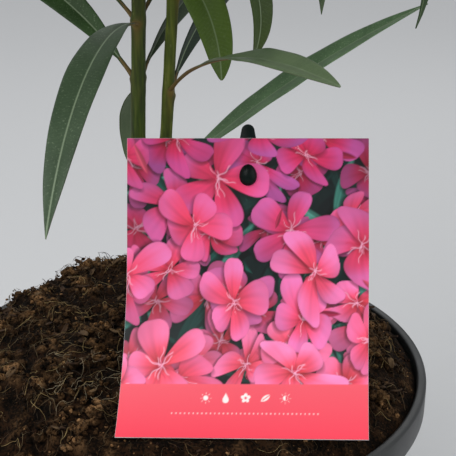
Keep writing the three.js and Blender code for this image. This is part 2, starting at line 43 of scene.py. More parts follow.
fullTurn = 2 * math.pi

# The photograph is a close view, 22 degrees down onto the card and the two stems behind it.
view = {"place": (22, -428.3, 425.3), "pitch": 22, "lens": 76.43, "sensor": 36}
cameraData = bpy.data.cameras.new("camera")
cameraData.lens = view["lens"]
cameraData.sensor_width = view["sensor"]
camera = bpy.data.objects.new("camera", cameraData)
camera.location = Vector(view["place"]) * mm
camera.rotation_euler = (math.radians(90 - view["pitch"]), 0, 0)
bpy.context.scene.collection.objects.link(camera)
bpy.context.scene.camera = camera


# Colours, nodes and materials

def linear(hexColour):
    parts = [int(hexColour[i:i + 2], 16) / 255 for i in (1, 3, 5)]
    return [p / 12.92 if p <= 0.04045 else ((p + 0.055) / 1.055) ** 2.4 for p in parts] + [1.0]


def addNode(tree, kind, inputs=(), **settings):
    # The inputs are a dictionary by socket, or a list in the node's own order.
    node = tree.nodes.new("ShaderNode" + kind)
    for key, value in settings.items():
        if key == "stops":  # of a colour ramp
            elements = node.color_ramp.elements
            while len(elements) < len(value):
                elements.new(1)
            for element, (place, colour) in zip(elements, value):
                element.position = place
                element.color = linear(colour)
        else:
            setattr(node, key, value)
    for key, value in inputs.items() if isinstance(inputs, dict) else enumerate(inputs):
        if isinstance(value, bpy.types.NodeSocket):
            tree.links.new(value, node.inputs[key])
        else:
            node.inputs[key].default_value = value
    return node.outputs


def startMaterial(name, shader):
    material = bpy.data.materials.new(name)
    material.use_nodes = True
    surface = material.node_tree.nodes["Principled BSDF"]
    for key, value in shader.items():
        surface.inputs[key].default_value = value
    return material, material.node_tree, addNode(material.node_tree, "TexCoord")["Object"]


def linkSurface(tree, colour, bump=None, depth=0.1, strength=1.0, roughness=None):
    surface = tree.nodes["Principled BSDF"]
    tree.links.new(colour, surface.inputs["Base Color"])
    if roughness:
        tree.links.new(roughness, surface.inputs["Roughness"])
    if bump:
        bumped = addNode(tree, "Bump", {"Height": bump, "Distance": depth * mm, "Strength": strength})
        tree.links.new(bumped["Normal"], surface.inputs["Normal"])


def perSize(*sizes):
    return tuple(1 / (size * mm) for size in sizes)


# Meshes: a pattern is the net of an operator's shape, and copies of it are placed from arrays

def patternOf(bm):
    bm.verts.index_update()
    pattern = {
        "base": np.array([v.co[:] for v in bm.verts]),
        "corners": np.array([v.index for face in bm.faces for v in face.verts]),
        "counts": np.array([len(face.verts) for face in bm.faces]),
    }
    bm.free()
    return pattern


def sheetPattern(across, along):
    bm = bmesh.new()
    bmesh.ops.create_grid(bm, x_segments=across, y_segments=along, size=1)
    return patternOf(bm)


def tubePattern(sides, rings):
    bm = bmesh.new()
    bmesh.ops.create_uvsphere(bm, u_segments=sides, v_segments=rings + 1, radius=1)
    pattern = patternOf(bm)
    x, y, z = pattern["base"].T
    ring = np.rint((1 - np.arccos(np.clip(z, -1, 1)) / math.pi) * (rings + 1))
    pattern["angle"] = np.arctan2(y, x)
    pattern["t"] = np.clip((ring - 1) / (rings - 1), 0, 1)
    pattern["open"] = ((ring > 0) & (ring <= rings)).astype(float)  # 0 at the two poles
    return pattern


def ballPattern(level):
    bm = bmesh.new()
    bmesh.ops.create_icosphere(bm, subdivisions=level, radius=1)
    return patternOf(bm)


def copyOf(pattern, places, look=0, uv=None):
    return {"pattern": pattern, "places": places, "look": look, "uv": uv}


def startsOf(counts):
    return np.concatenate([[0], np.cumsum(counts)[:-1]]).astype(np.int32)


def meshOf(name, copies, materials):
    places = np.concatenate([c["places"] for c in copies]) * mm
    starts = startsOf([len(c["places"]) for c in copies])
    corners = np.concatenate([c["pattern"]["corners"] + start for c, start in zip(copies, starts)])
    counts = np.concatenate([c["pattern"]["counts"] for c in copies])
    looks = np.concatenate([np.broadcast_to(c["look"], c["pattern"]["counts"].shape) for c in copies])
    mesh = bpy.data.meshes.new(name)
    mesh.vertices.add(len(places))
    mesh.vertices.foreach_set("co", places.astype(np.float32).ravel())
    mesh.loops.add(len(corners))
    mesh.loops.foreach_set("vertex_index", corners.astype(np.int32))
    mesh.polygons.add(len(counts))
    mesh.polygons.foreach_set("loop_start", startsOf(counts))
    mesh.polygons.foreach_set("material_index", looks.astype(np.int32))
    mesh.polygons.foreach_set("use_smooth", np.ones(len(counts), bool))
    if copies[0]["uv"] is not None:
        uvs = np.concatenate([c["uv"][c["pattern"]["corners"]] for c in copies])
        mesh.uv_layers.new(name="leaf").data.foreach_set("uv", uvs.astype(np.float32).ravel())
    for material in materials:
        mesh.materials.append(material)
    mesh.update(calc_edges=True)
    mesh.validate()
    return mesh


def addPiece(name, mesh, node):
    piece = bpy.data.objects.new(name, mesh)
    bpy.context.scene.collection.objects.link(piece)
    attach(piece, "root")
    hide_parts(node)
    return piece


def addCopies(name, copies, materials, node):
    return addPiece(name, meshOf(name, copies, materials), node)


def addShape(name, bm, material, slotName):
    # One modelled shape, which stands for the node that has its slot's name
    bmesh.ops.scale(bm, vec=(mm, mm, mm), verts=bm.verts)
    mesh = bpy.data.meshes.new(name)
    bm.to_mesh(mesh)
    bm.free()
    mesh.materials.append(material)
    mesh.polygons.foreach_set("use_smooth", [True] * len(mesh.polygons))
    return addPiece(name, mesh, slotName)


def addValues(piece, name, values):
    values = np.asarray(values).astype(np.float32)
    piece.data.attributes.new(name, "FLOAT", "POINT").data.foreach_set("value", values)


def thicken(piece, thickness, lookOffset=0):
    solidify = piece.modifiers.new("thickness", "SOLIDIFY")
    solidify.thickness = thickness * mm
    solidify.offset = -1
    solidify.material_offset = lookOffset
    solidify.material_offset_rim = 0


# The rule of growth, as in the solids

growthSteps = 24
pot = {
    "height": 182, "rimRadius": 120, "rimHeight": 15, "rimWall": 4.5, "rimRound": 1.4,
    "shoulderRadius": 114, "footRadius": 90, "wall": 2.2, "floor": 3,
    "drainHoles": 6, "drainHoleRadius": 6, "drainHoleRing": 66, "segments": 160,
}
soil = {"edge": 177, "crest": 206, "crestAt": (-9, 6), "shoulder": 4.6, "lump": 1.1}
clearance = 0.3
stems = {
    "left": {"foot": (-22.8, 0), "slope": 0.0375, "fork": 404, "footRadius": 3.75, "tipRadius": 2.9},
    "right": {"foot": (-13.2, 0), "slope": 0.0705, "fork": 413, "footRadius": 3.0, "tipRadius": 2.4},
}
stemFlare = {"share": 0.22, "height": 7}
footHeight = soil["crest"] - 4
bough = {"turnUp": -32, "startRadius": 2.2, "tipRadius": 1.9}
boughColumns = ("name", "stem", "azimuth", "rise", "below", "length", "shoot")
boughs = [dict(zip(boughColumns, row)) for row in (
    ("left_front", "left", 226, 30, 19, 66, 186),
    ("left_back", "left", 136, 32, 9, 64, 180),
    ("left_leader", "left", 178, 66, 2, 62, 214),
    ("right_back", "right", 50, 31, 18, 68, 182),
    ("right_front", "right", 316, 31, 8, 66, 176),
    ("right_leader", "right", 8, 64, 2, 60, 205),
)]
shoot = {
    "seed": 41, "whorls": 11, "whorlLeaves": 3, "crowding": 1.35, "turn": 60,
    "firstAt": 0.02, "spanned": 0.97, "shrinkPower": 1.7, "spreadPower": 0.8,
    "baseRadius": 1.9, "tipRadius": 1.0, "turnUp": -8,
    "leafLength": 146, "tipLength": 0.42, "leafWidth": 0.115,
    "spreadTip": 18, "spreadBase": 58, "droopTip": 12, "droopBase": 60,
    "bend": 1.15, "lift": 0.3, "lengthRange": (0.9, 1.03), "droopRange": (0.7, 1.3),
    "angleSpan": 9, "spreadSpan": 6, "sweepSpan": 9, "rollSpan": 16, "twistSpan": 12,
    "tries": 7, "tryTurn": 9, "tryClose": 4, "tryShorten": 0.05, "ownGap": 3, "otherGap": 10,
}
bareBelow = {"height": 344, "slope": 0.19}
leafBlade = {
    "petiole": 0.07, "petioleHalf": 1.0, "fold": 14, "tip": 0.72, "foot": 0.95, "crowd": 0.92,
    "sunk": 1.2, "neckEase": 0.35,
}
cloudSteps = {"leaf": 18, "limb": 20, "stem": 40, "skipped": 4}


def directionAt(line, t):
    t = np.asarray(t, float)
    rise = np.radians(line["rise"] - line["droop"] * t ** line["power"])
    azimuth = np.radians(line["azimuth"] + line["sweep"] * t)
    return np.stack([np.cos(rise) * np.cos(azimuth), np.cos(rise) * np.sin(azimuth), np.sin(rise)], -1)


def growthPoints(line):
    middles = (np.arange(growthSteps) + 0.5) / growthSteps
    steps = directionAt(line, middles) * line["length"] / growthSteps
    return np.vstack([line["base"], line["base"] + np.cumsum(steps, 0)])


def pointAt(points, t):
    place = np.minimum(np.asarray(t, float) * growthSteps, growthSteps - 1e-9)
    i = np.floor(place).astype(int)
    share = (place - i)[..., None]
    return points[i] * (1 - share) + points[i + 1] * share


def squareTo(tangent):
    first = np.array([1.0, 0, 0]) - tangent * tangent[..., :1]
    first /= np.linalg.norm(first, axis=-1, keepdims=True)
    return first, np.cross(tangent, first)


def leaning(tangent, degreesRound, degreesOff):
    # A direction that leans off the tangent by so much, towards that side of it
    first, second = squareTo(tangent)
    around, off = math.radians(degreesRound), math.radians(degreesOff)
    aside = first * math.cos(around) + second * math.sin(around)
    return tangent * math.cos(off) + aside * math.sin(off)


def anglesOf(direction):
    azimuth, rise = math.atan2(direction[1], direction[0]), math.asin(direction[2])
    return {"azimuth": math.degrees(azimuth), "rise": math.degrees(rise)}


def halfWidth(leaf, t):
    t = np.asarray(t, float)
    along = np.maximum(0, (t - leafBlade["petiole"]) / (1 - leafBlade["petiole"])) ** leafBlade["crowd"]
    power = leafBlade["foot"] + (leaf.get("tip", leafBlade["tip"]) - leafBlade["foot"]) * along
    blade = leaf["width"] / 2 * np.maximum(0, np.sin(math.pi * along)) ** power
    if leaf.get("neck"):
        blade = blade * np.clip((t - leaf["neck"]) / leafBlade["neckEase"], 0, 1)
    wide = np.maximum(leafBlade["petioleHalf"] * (1 - along), blade)
    return np.where(t <= leafBlade["petiole"], leafBlade["petioleHalf"], wide)


def leafFrame(leaf, t):
    t = np.asarray(t, float)
    tangent = directionAt(leaf, t)
    azimuth = np.radians(leaf["azimuth"] + leaf["sweep"] * t)
    flat = np.stack([-np.sin(azimuth), np.cos(azimuth), np.zeros_like(azimuth)], -1)
    up = np.cross(tangent, flat)
    roll = np.radians(leaf["roll"] + leaf["twist"] * t)[..., None]
    return flat * np.cos(roll) + up * np.sin(roll), up * np.cos(roll) - flat * np.sin(roll)


def stemPoint(stem, z):
    z = np.asarray(z, float)
    along = stem["foot"][0] + stem["slope"] * (z - footHeight)
    return np.stack([along, np.full_like(z, stem["foot"][1]), z], -1)


def stemRadius(stem, z):
    t = (z - footHeight) / (stem["fork"] - footHeight)
    flare = stemFlare["share"] * np.exp(-(z - footHeight) / stemFlare["height"])
    return (stem["footRadius"] + (stem["tipRadius"] - stem["footRadius"]) * t) * (1 + flare)


def lineFromStem(stem, z, sunk, values):
    azimuth = math.radians(values["azimuth"])
    reach = max(0, float(stemRadius(stem, z)) - sunk)
    base = stemPoint(stem, z) + reach * np.array([math.cos(azimuth), math.sin(azimuth), 0])
    return {**values, "base": base}


def boughLine(spec):
    stem = stems[spec["stem"]]
    droop = bough["turnUp"] * math.cos(math.radians(spec["rise"]))
    values = {"azimuth": spec["azimuth"], "rise": spec["rise"], "droop": droop, "sweep": 0}
    values.update(length=spec["length"], power=1)
    return lineFromStem(stem, stem["fork"] - spec["below"], bough["startRadius"], values)


def shootLine(spec, line):
    base = pointAt(growthPoints(line), 1) + directionAt(line, 1) * clearance
    droop = shoot["turnUp"] * math.cos(math.radians(line["rise"]))
    return {
        "base": base, "azimuth": spec["azimuth"], "rise": line["rise"] - line["droop"],
        "droop": droop, "sweep": 0, "length": spec["shoot"], "power": 1,
    }


class Draws:  # the next numbers of a seeded run
    def __init__(self, seed):
        self.state = seed

    def between(self, low, high):
        self.state = (self.state * 1664525 + 1013904223) % 4294967296
        return low + (high - low) * (self.state / 4294967296)

    def about(self, span):
        return self.between(-span, span)

    def angle(self):
        return self.between(0, fullTurn)

    def mostlyLow(self, low, high, power):
        return low + (high - low) * self.between(0, 1) ** power


def groupOf(owner, points, radius):
    centre = points.mean(0)
    reach = np.linalg.norm(points - centre, axis=1).max()
    return {"owner": owner, "points": points, "radius": radius, "centre": centre, "reach": reach}


def leafPoints(leaf):
    t = (np.arange(cloudSteps["leaf"] + 1) / cloudSteps["leaf"])[cloudSteps["skipped"]:]
    side, _ = leafFrame(leaf, t)
    middle = pointAt(growthPoints(leaf), t)
    half = halfWidth(leaf, t)[:, None]
    return np.concatenate([middle + side * half * share for share in (-1, -0.5, 0, 0.5, 1)])


def limbPoints(line, skipped=0):
    t = (np.arange(cloudSteps["limb"] + 1) / cloudSteps["limb"])[skipped:]
    return pointAt(growthPoints(line), t)


taken = []  # what later leaves keep clear of


def nearest(group, other):
    between = group["points"][:, None] - other["points"][None]
    return (between ** 2).sum(-1).min()


def isClear(group):
    for other in taken:
        own = other["owner"] == group["owner"]
        gap = other["radius"] + shoot["ownGap" if own else "otherGap"]
        apart = np.linalg.norm(group["centre"] - other["centre"])
        if apart <= group["reach"] + other["reach"] + gap and nearest(group, other) <= gap * gap:
            return False
    return True


def isAboveBare(points):
    return bool((points[:, 2] + bareBelow["slope"] * points[:, 1] > bareBelow["height"]).all())


def whorlLeaf(rule, axis, axisPoints, owner, k, angle, draws):
    u = k / (rule["whorls"] - 1)
    t = rule["firstAt"] + rule["spanned"] * (1 - (1 - u) ** rule["crowding"])
    tangent = directionAt(axis, t)
    base = pointAt(axisPoints, t)
    full = rule["leafLength"] * (1 - (1 - rule["tipLength"]) * u ** rule["shrinkPower"])
    length = full * draws.between(*rule["lengthRange"])
    widest = rule["spreadTip"] + rule["spreadBase"] * (1 - u) ** rule["spreadPower"]
    widest += draws.about(rule["spreadSpan"])
    droop = (rule["droopTip"] + rule["droopBase"] * (1 - u)) * draws.between(*rule["droopRange"])
    bends = {"droop": droop, "sweep": draws.about(rule["sweepSpan"]), "roll": draws.about(rule["rollSpan"])}
    bends.update(twist=draws.about(rule["twistSpan"]), power=rule["bend"], u=u, t=t)
    for attempt in range(rule["tries"]):
        shift = (1 if attempt % 2 else -1) * math.ceil(attempt / 2)
        size = length * (1 - rule["tryShorten"] * attempt)
        out = leaning(tangent, angle + rule["tryTurn"] * shift, widest - rule["tryClose"] * attempt)
        leaf = {
            **bends, **anglesOf(out), "base": base + out * rule["lift"],
            "length": size, "width": size * rule["leafWidth"],
        }
        group = groupOf(owner, leafPoints(leaf), 0)
        if isAboveBare(group["points"]) and isClear(group):
            taken.append(group)
            return leaf
    return None


def shootLeaves(rule, axis, owner, draws):
    axisPoints = growthPoints(axis)
    apart = 360 / rule["whorlLeaves"]
    phase = draws.between(0, apart)
    leaves = []
    for k in range(rule["whorls"]):
        for i in range(rule["whorlLeaves"]):
            angle = phase + rule["turn"] * k + apart * i + draws.about(rule["angleSpan"])
            leaves.append(whorlLeaf(rule, axis, axisPoints, owner, k, angle, draws))
    return [leaf for leaf in leaves if leaf]


# Leaf surfaces

bladeLook = {
    "start": 0.055, "end": 0.998, "taper": 0.16, "tipEase": 0.5, "curve": 1.3, "roll": 0.07, "rollPower": 6,
    "ripple": 0.2, "ripples": 4.5, "rippleSlant": 1.3, "rippleSpread": 5, "rippleLength": 120,
    "rippleHalf": 7, "groove": 0.3, "grooveHalf": 0.9, "grooveFrom": 4, "thickness": 0.42,
    "mapSpan": (40, 160),  # how many mm across and along the leaf its map holds
}
ribLook = {
    "end": 0.94, "easeFrom": 0.7, "stalk": 0.85, "start": 0.56, "thinning": 0.46, "fullLength": 110,
    "clasp": 0.7, "claspLength": 2.2, "under": 0.05, "sunk": 0.9, "wide": 1.12, "tall": 0.9,
}


def bladePlaces(leaf, pattern, phase):
    share = -pattern["base"][:, 0]
    start = leaf.get("neck", bladeLook["start"])
    t = start + (bladeLook["end"] - start) * (pattern["base"][:, 1] + 1) / 2
    tipward = np.clip(1 - (1 - t) / bladeLook["taper"], 0, 1)
    half = halfWidth(leaf, t) * (1 - bladeLook["tipEase"] * tipward ** 2)
    fold = math.radians(leafBlade["fold"])
    across = share * half
    raised = half * math.sin(fold) * np.abs(share) ** bladeLook["curve"]
    raised -= half * bladeLook["roll"] * np.abs(share) ** bladeLook["rollPower"]
    slant = share * bladeLook["rippleSlant"] + phase * bladeLook["rippleSpread"]
    wave = np.sin((t * bladeLook["ripples"] + phase) * fullTurn + slant)
    ripple = bladeLook["ripple"] * min(1, (leaf["length"] / bladeLook["rippleLength"]) ** 2)
    ripple = ripple * np.minimum(1, half / bladeLook["rippleHalf"]) ** 2
    raised += ripple * wave * share ** 2 * np.sin(math.pi * t)
    groove = bladeLook["groove"] * np.exp(-(across / bladeLook["grooveHalf"]) ** 2)
    raised -= groove * np.minimum(1, half / bladeLook["grooveFrom"])
    side, normal = leafFrame(leaf, t)
    middle = pointAt(growthPoints(leaf), t)
    places = middle + side * (across * math.cos(fold))[:, None] + normal * raised[:, None]
    spanAcross, spanAlong = bladeLook["mapSpan"]
    return places, np.stack([0.5 + across / spanAcross, t * leaf["length"] / spanAlong], -1)


def ribPlaces(leaf, pattern):
    t = pattern["t"] * ribLook["end"]
    petiole = leaf.get("neck", leafBlade["petiole"])
    ribShare = np.clip((t - petiole * ribLook["easeFrom"]) / petiole, 0, 1)
    size = min(1, leaf["length"] / ribLook["fullLength"])
    rib = ribLook["start"] - ribLook["thinning"] * t
    radius = (ribLook["stalk"] * (1 - ribShare) + rib * ribShare) * size
    # The petiole's foot clasps the stem, and the blade's upper face stays free of the rib.
    radius += ribLook["clasp"] * size * np.exp(-t * leaf["length"] / ribLook["claspLength"])
    sunk = ribShare * (bladeLook["groove"] + ribLook["under"] + radius * ribLook["sunk"])
    side, normal = leafFrame(leaf, t)
    middle = pointAt(growthPoints(leaf), t)
    around = side * np.cos(pattern["angle"])[:, None] * ribLook["wide"]
    around += normal * np.sin(pattern["angle"])[:, None] * ribLook["tall"]
    return middle - normal * sunk[:, None] + around * (radius * pattern["open"])[:, None]


def limbPlaces(line, pattern, radiusAt):
    t = pattern["t"]
    first, second = squareTo(directionAt(line, t))
    angle = pattern["angle"][:, None]
    radius = (radiusAt(t, pattern["angle"]) * pattern["open"])[:, None]
    return pointAt(growthPoints(line), t) + (first * np.cos(angle) + second * np.sin(angle)) * radius


print("growth rule ready")


# Materials of the plant

barkLook = {
    "streak": (1.6, 1.6, 14), "streakAt": (0.30, 0.46, 0.58, 0.74), "patch": (9, 9, 30), "brown": "#443a1c",
    "joint": "#6a5526", "aged": "#463a2c", "agedBetween": (0.252, 0.204), "pore": (2.9, 2.9, 6.5),
    "poreColour": "#7f7a52",
}


def youngBark(name, greens):
    # Young oleander bark: smooth and olive, darker in long streaks, with brown flecks and pale pores.
    material, tree, place = startMaterial(name, {"Roughness": 0.58, "Specular IOR Level": 0.25})
    seats = {}
    for pattern in ("streak", "patch", "pore"):
        seat = {"Vector": place, "Scale": perSize(*barkLook[pattern])}
        seats[pattern] = addNode(tree, "Mapping", seat)["Vector"]
    streak = addNode(tree, "TexNoise", {"Vector": seats["streak"], "Scale": 1, "Detail": 4})["Fac"]
    patch = addNode(tree, "TexNoise", {"Vector": seats["patch"], "Scale": 1, "Detail": 3})["Fac"]
    pore = addNode(tree, "TexVoronoi", {"Vector": seats["pore"], "Scale": 1, "Randomness": 0.9})["Distance"]
    poreShare = addNode(tree, "MapRange", [pore, 0.17, 0.08, 0, 0.32])["Result"]
    height = addNode(tree, "SeparateXYZ", {"Vector": place})["Z"]
    colour = addNode(tree, "ValToRGB", [streak], stops=list(zip(barkLook["streakAt"], greens)))["Color"]
    for share, tone in (
        (addNode(tree, "MapRange", [patch, 0.52, 0.78, 0, 0.6])["Result"], "brown"),
        (addNode(tree, "Attribute", attribute_name="joint")["Fac"], "joint"),
        (addNode(tree, "MapRange", [height, *barkLook["agedBetween"], 0, 0.8])["Result"], "aged"),
        (poreShare, "poreColour"),
    ):
        mixed = {0: share, 6: colour, 7: linear(barkLook[tone])}
        colour = addNode(tree, "Mix", mixed, data_type="RGBA")[2]
    relief = addNode(tree, "Math", [streak, poreShare], operation="ADD")["Value"]
    linkSurface(tree, colour, relief, 0.18, 0.5)
    return material


# The real side veins lie 0.8 mm apart, which is too fine to show, so they are drawn wider.
leafMarks = {
    "spacing": 1.7, "slant": -0.55, "bend": 1.6, "tint": 0.035, "colour": "#7f9a72",
    "ribHalf": 0.3, "ribColour": "#93a385", "speck": 0.8,
}


def leafSkin(name, mid, dark, roughness, ribShare=0, chalkShare=0):
    # Oleander leaf: leathery, with a thin wax that gives a broad soft sheen. Where the midrib shows, so do
    # fine straight side veins and the chalk of dried drops of hard water.
    material, tree, place = startMaterial(name, {"Roughness": roughness, "Specular IOR Level": 0.26})
    broad = addNode(tree, "TexNoise", {"Vector": place, "Scale": 1 / (17 * mm), "Detail": 3})["Fac"]
    fine = addNode(tree, "TexNoise", {"Vector": place, "Scale": 1 / (1.4 * mm), "Detail": 2})["Fac"]
    share = addNode(tree, "Math", [fine, 0.35, broad], operation="MULTIPLY_ADD")["Value"]
    colour = addNode(tree, "ValToRGB", [share], stops=[(0.45, dark), (0.85, mid)])["Color"]
    relief = fine
    if ribShare:
        spanAcross, spanAlong = bladeLook["mapSpan"]
        leafMap = addNode(tree, "SeparateXYZ", {"Vector": addNode(tree, "TexCoord")["UV"]})
        off = [leafMap["X"], spanAcross, -spanAcross / 2]
        off = addNode(tree, "Math", off, operation="MULTIPLY_ADD")["Value"]
        out = addNode(tree, "Math", [off], operation="ABSOLUTE")["Value"]
        along = addNode(tree, "Math", [leafMap["Y"], spanAlong], operation="MULTIPLY")["Value"]
        slant = addNode(tree, "Math", [out, leafMarks["slant"], along], operation="MULTIPLY_ADD")["Value"]
        bent = addNode(tree, "Math", [broad, leafMarks["bend"], slant], operation="MULTIPLY_ADD")["Value"]
        wave = addNode(tree, "Math", [bent, fullTurn / leafMarks["spacing"]], operation="MULTIPLY")["Value"]
        vein = addNode(tree, "Math", [wave], operation="SINE")["Value"]
        relief = addNode(tree, "Math", [vein, -0.05, fine], operation="MULTIPLY_ADD")["Value"]
        specks = {"Vector": place, "Scale": 1 / (leafMarks["speck"] * mm), "Detail": 2}
        specks = addNode(tree, "TexNoise", specks)["Fac"]
        ribHalf = leafMarks["ribHalf"]
        for value, start, end, strength, tone in (
            (vein, 0.35, 1, leafMarks["tint"], "colour"),
            (out, ribHalf * 1.5, ribHalf * 0.6, ribShare, "ribColour"),
            (specks, 0.6, 0.72, chalkShare, "ribColour"),
        ):
            mark = addNode(tree, "MapRange", [value, start, end, 0, strength])["Result"]
            mixed = {0: mark, 6: colour, 7: linear(leafMarks[tone])}
            colour = addNode(tree, "Mix", mixed, data_type="RGBA")[2]
    linkSurface(tree, colour, relief, 0.12, 0.45)
    return material


# The right stem's bark is paler: partly its own colour, and partly painted light that lifts it out of the
# shade it stands in.
bark = {
    "left": youngBark("youngBark", ("#222e0c", "#2f3e0e", "#3b4b12", "#4b541f")),
    "right": youngBark("paleAndLitYoungBark", ("#303a12", "#424e14", "#535e1a", "#64682a")),
}
leafLooks = {
    "deep": leafSkin("leafDeep", "#324827", "#22361a", 0.5),
    "mid": leafSkin("leafMid", "#3b562a", "#2a421e", 0.5),
    "fresh": leafSkin("leafFresh", "#4b6a2f", "#365122", 0.5),
    "rib": leafSkin("leafRib", "#7d8c5e", "#6a794f", 0.55),
    "under": leafSkin("leafUnderside", "#657657", "#526346", 0.62),
    "stalk": leafSkin("leafStalk", "#6f5f33", "#5b4524", 0.55),
}


# Foliage masses

def ribWarp(pattern, ribShare):
    # Draws the two middle columns of a blade's net together, so that they are as narrow as a midrib.
    share = pattern["base"][:, 0]
    columns = len(np.unique(np.round(share, 5))) - 1
    inner = 2 / columns
    outer = ribShare + (np.abs(share) - inner) / (1 - inner) * (1 - ribShare)
    warped = np.where(np.abs(share) <= inner + 1e-6, share / inner * ribShare, np.sign(share) * outer)
    return {**pattern, "base": np.column_stack([warped, pattern["base"][:, 1:]])}


massPatterns = {
    "large": (ribWarp(sheetPattern(12, 44), 0.055), tubePattern(8, 26)),
    "small": (ribWarp(sheetPattern(8, 22), 0.08), tubePattern(6, 14)),
    "axis": tubePattern(14, 90),
    "twig": tubePattern(8, 16),
}
massLook = {
    "largeFrom": 70, "ribReach": 0.05, "chanceSpan": 0.3, "freshFrom": 0.75, "midFrom": 0.35,
    "swell": 0.3, "swellLength": 2.2,
}
# The looks of a mass's faces: each is followed by that of its underside.
massLooks = {"deep": 0, "mid": 2, "fresh": 4, "rib": 6}
sideShoot = {
    **shoot, "whorls": 4, "crowding": 1.2, "leafLength": 62, "tipLength": 0.5, "leafWidth": 0.13,
    "spreadBase": 46, "droopBase": 34, "tries": 9, "turnUp": -22,
}
sideTwigs = {
    "perMass": 7, "firstAt": 0.06, "spanned": 0.62, "setOff": (0.2, 0.8), "turn": 137.5, "turnSpan": 30,
    "length": (20, 38), "rise": (30, 62), "radius": 1.05, "thinning": 0.4, "clearFrom": 8, "fewest": 4,
}


def growCrown():
    draws = Draws(shoot["seed"])
    for name, stem in stems.items():
        share = np.arange(cloudSteps["stem"] + 1) / cloudSteps["stem"]
        heights = footHeight + (stem["fork"] - footHeight) * share
        radius = stem["footRadius"] - shoot["ownGap"]
        taken.append(groupOf("stem_" + name, stemPoint(stem, heights), radius))
    for name, leaf in lowLeaves.items():
        taken.append(groupOf(name, leafPoints(leaf), 0))
    crown = []
    for spec in boughs:
        line = boughLine(spec)
        axis = shootLine(spec, line)
        taken.append(groupOf(spec["name"], limbPoints(line, cloudSteps["skipped"]), 0))
        taken.append(groupOf(spec["name"], limbPoints(axis), 0))
        crown.append({"name": spec["name"], "line": line, "axis": axis})
    for mass in crown:
        mass["leaves"] = shootLeaves(shoot, mass["axis"], mass["name"], draws)
    for mass in crown:
        mass["twigs"] = growSideShoots(mass, draws)
    return crown


def growSideShoots(mass, draws):
    axis = mass["axis"]
    points = growthPoints(axis)
    twigs = []
    for i in range(sideTwigs["perMass"]):
        share = (i + draws.between(*sideTwigs["setOff"])) / sideTwigs["perMass"]
        t = sideTwigs["firstAt"] + sideTwigs["spanned"] * share
        rise = draws.between(*sideTwigs["rise"])
        around = sideTwigs["turn"] * i + draws.about(sideTwigs["turnSpan"])
        twig = {
            **anglesOf(leaning(directionAt(axis, t), around, 90 - rise)), "base": pointAt(points, t),
            "droop": sideShoot["turnUp"], "sweep": 0, "power": 1,
            "length": draws.between(*sideTwigs["length"]),
        }
        tip = groupOf(mass["name"] + "_twig", limbPoints(twig, sideTwigs["clearFrom"]), 0)
        others = [other for other in taken if other["owner"] != mass["name"]]
        if any(nearest(tip, other) <= shoot["otherGap"] ** 2 for other in others):
            continue
        before = len(taken)
        leaves = shootLeaves(sideShoot, twig, mass["name"], draws)
        if len(leaves) < sideTwigs["fewest"]:
            del taken[before:]
            continue
        twigs.append({"line": twig, "leaves": leaves})
    return twigs


def bladeLooks(pattern, kind):
    # Faces in the two middle columns take the midrib's look.
    across = pattern["base"][pattern["corners"], 0]
    middles = np.add.reduceat(across, startsOf(pattern["counts"])) / pattern["counts"]
    return np.where(np.abs(middles) < massLook["ribReach"], massLooks["rib"], massLooks[kind])


def buildMass(mass, draws):
    blades, ribs = [], []
    for leaf in mass["leaves"] + [leaf for twig in mass["twigs"] for leaf in twig["leaves"]]:
        blade, rib = massPatterns["large" if leaf["length"] > massLook["largeFrom"] else "small"]
        chance = leaf["u"] + draws.about(massLook["chanceSpan"])
        kind = "mid" if chance > massLook["midFrom"] else "deep"
        kind = "fresh" if chance > massLook["freshFrom"] else kind
        places, _ = bladePlaces(leaf, blade, draws.between(0, 1))
        blades.append(copyOf(blade, places, bladeLooks(blade, kind)))
        ribs.append(copyOf(rib, ribPlaces(leaf, rib)))
    name = mass["name"]
    node = "foliage_" + name
    materials = [leafLooks[look] for kind in massLooks for look in (kind, "under")]
    thicken(addCopies("leaves_" + name, blades, materials, node), bladeLook["thickness"], 1)
    addCopies("leafstalks_" + name, ribs, [leafLooks["stalk"]], node)
    whorls = sorted({leaf["t"] for leaf in mass["leaves"]})

    def axisRadius(t, angle):
        away = [(t - at) * mass["axis"]["length"] / massLook["swellLength"] for at in whorls]
        swell = massLook["swell"] * np.minimum(1, sum(np.exp(-a ** 2) for a in away))
        return (shoot["baseRadius"] + (shoot["tipRadius"] - shoot["baseRadius"]) * t) * (1 + swell)

    def twigRadius(t, angle):
        return sideTwigs["radius"] * (1 - sideTwigs["thinning"] * t)

    axis, small = massPatterns["axis"], massPatterns["twig"]
    twigs = [copyOf(axis, limbPlaces(mass["axis"], axis, axisRadius))]
    twigs += [copyOf(small, limbPlaces(twig["line"], small, twigRadius)) for twig in mass["twigs"]]
    addCopies("twigs_" + name, twigs, [bark["left"]], node)


# Leaves of the lower stems

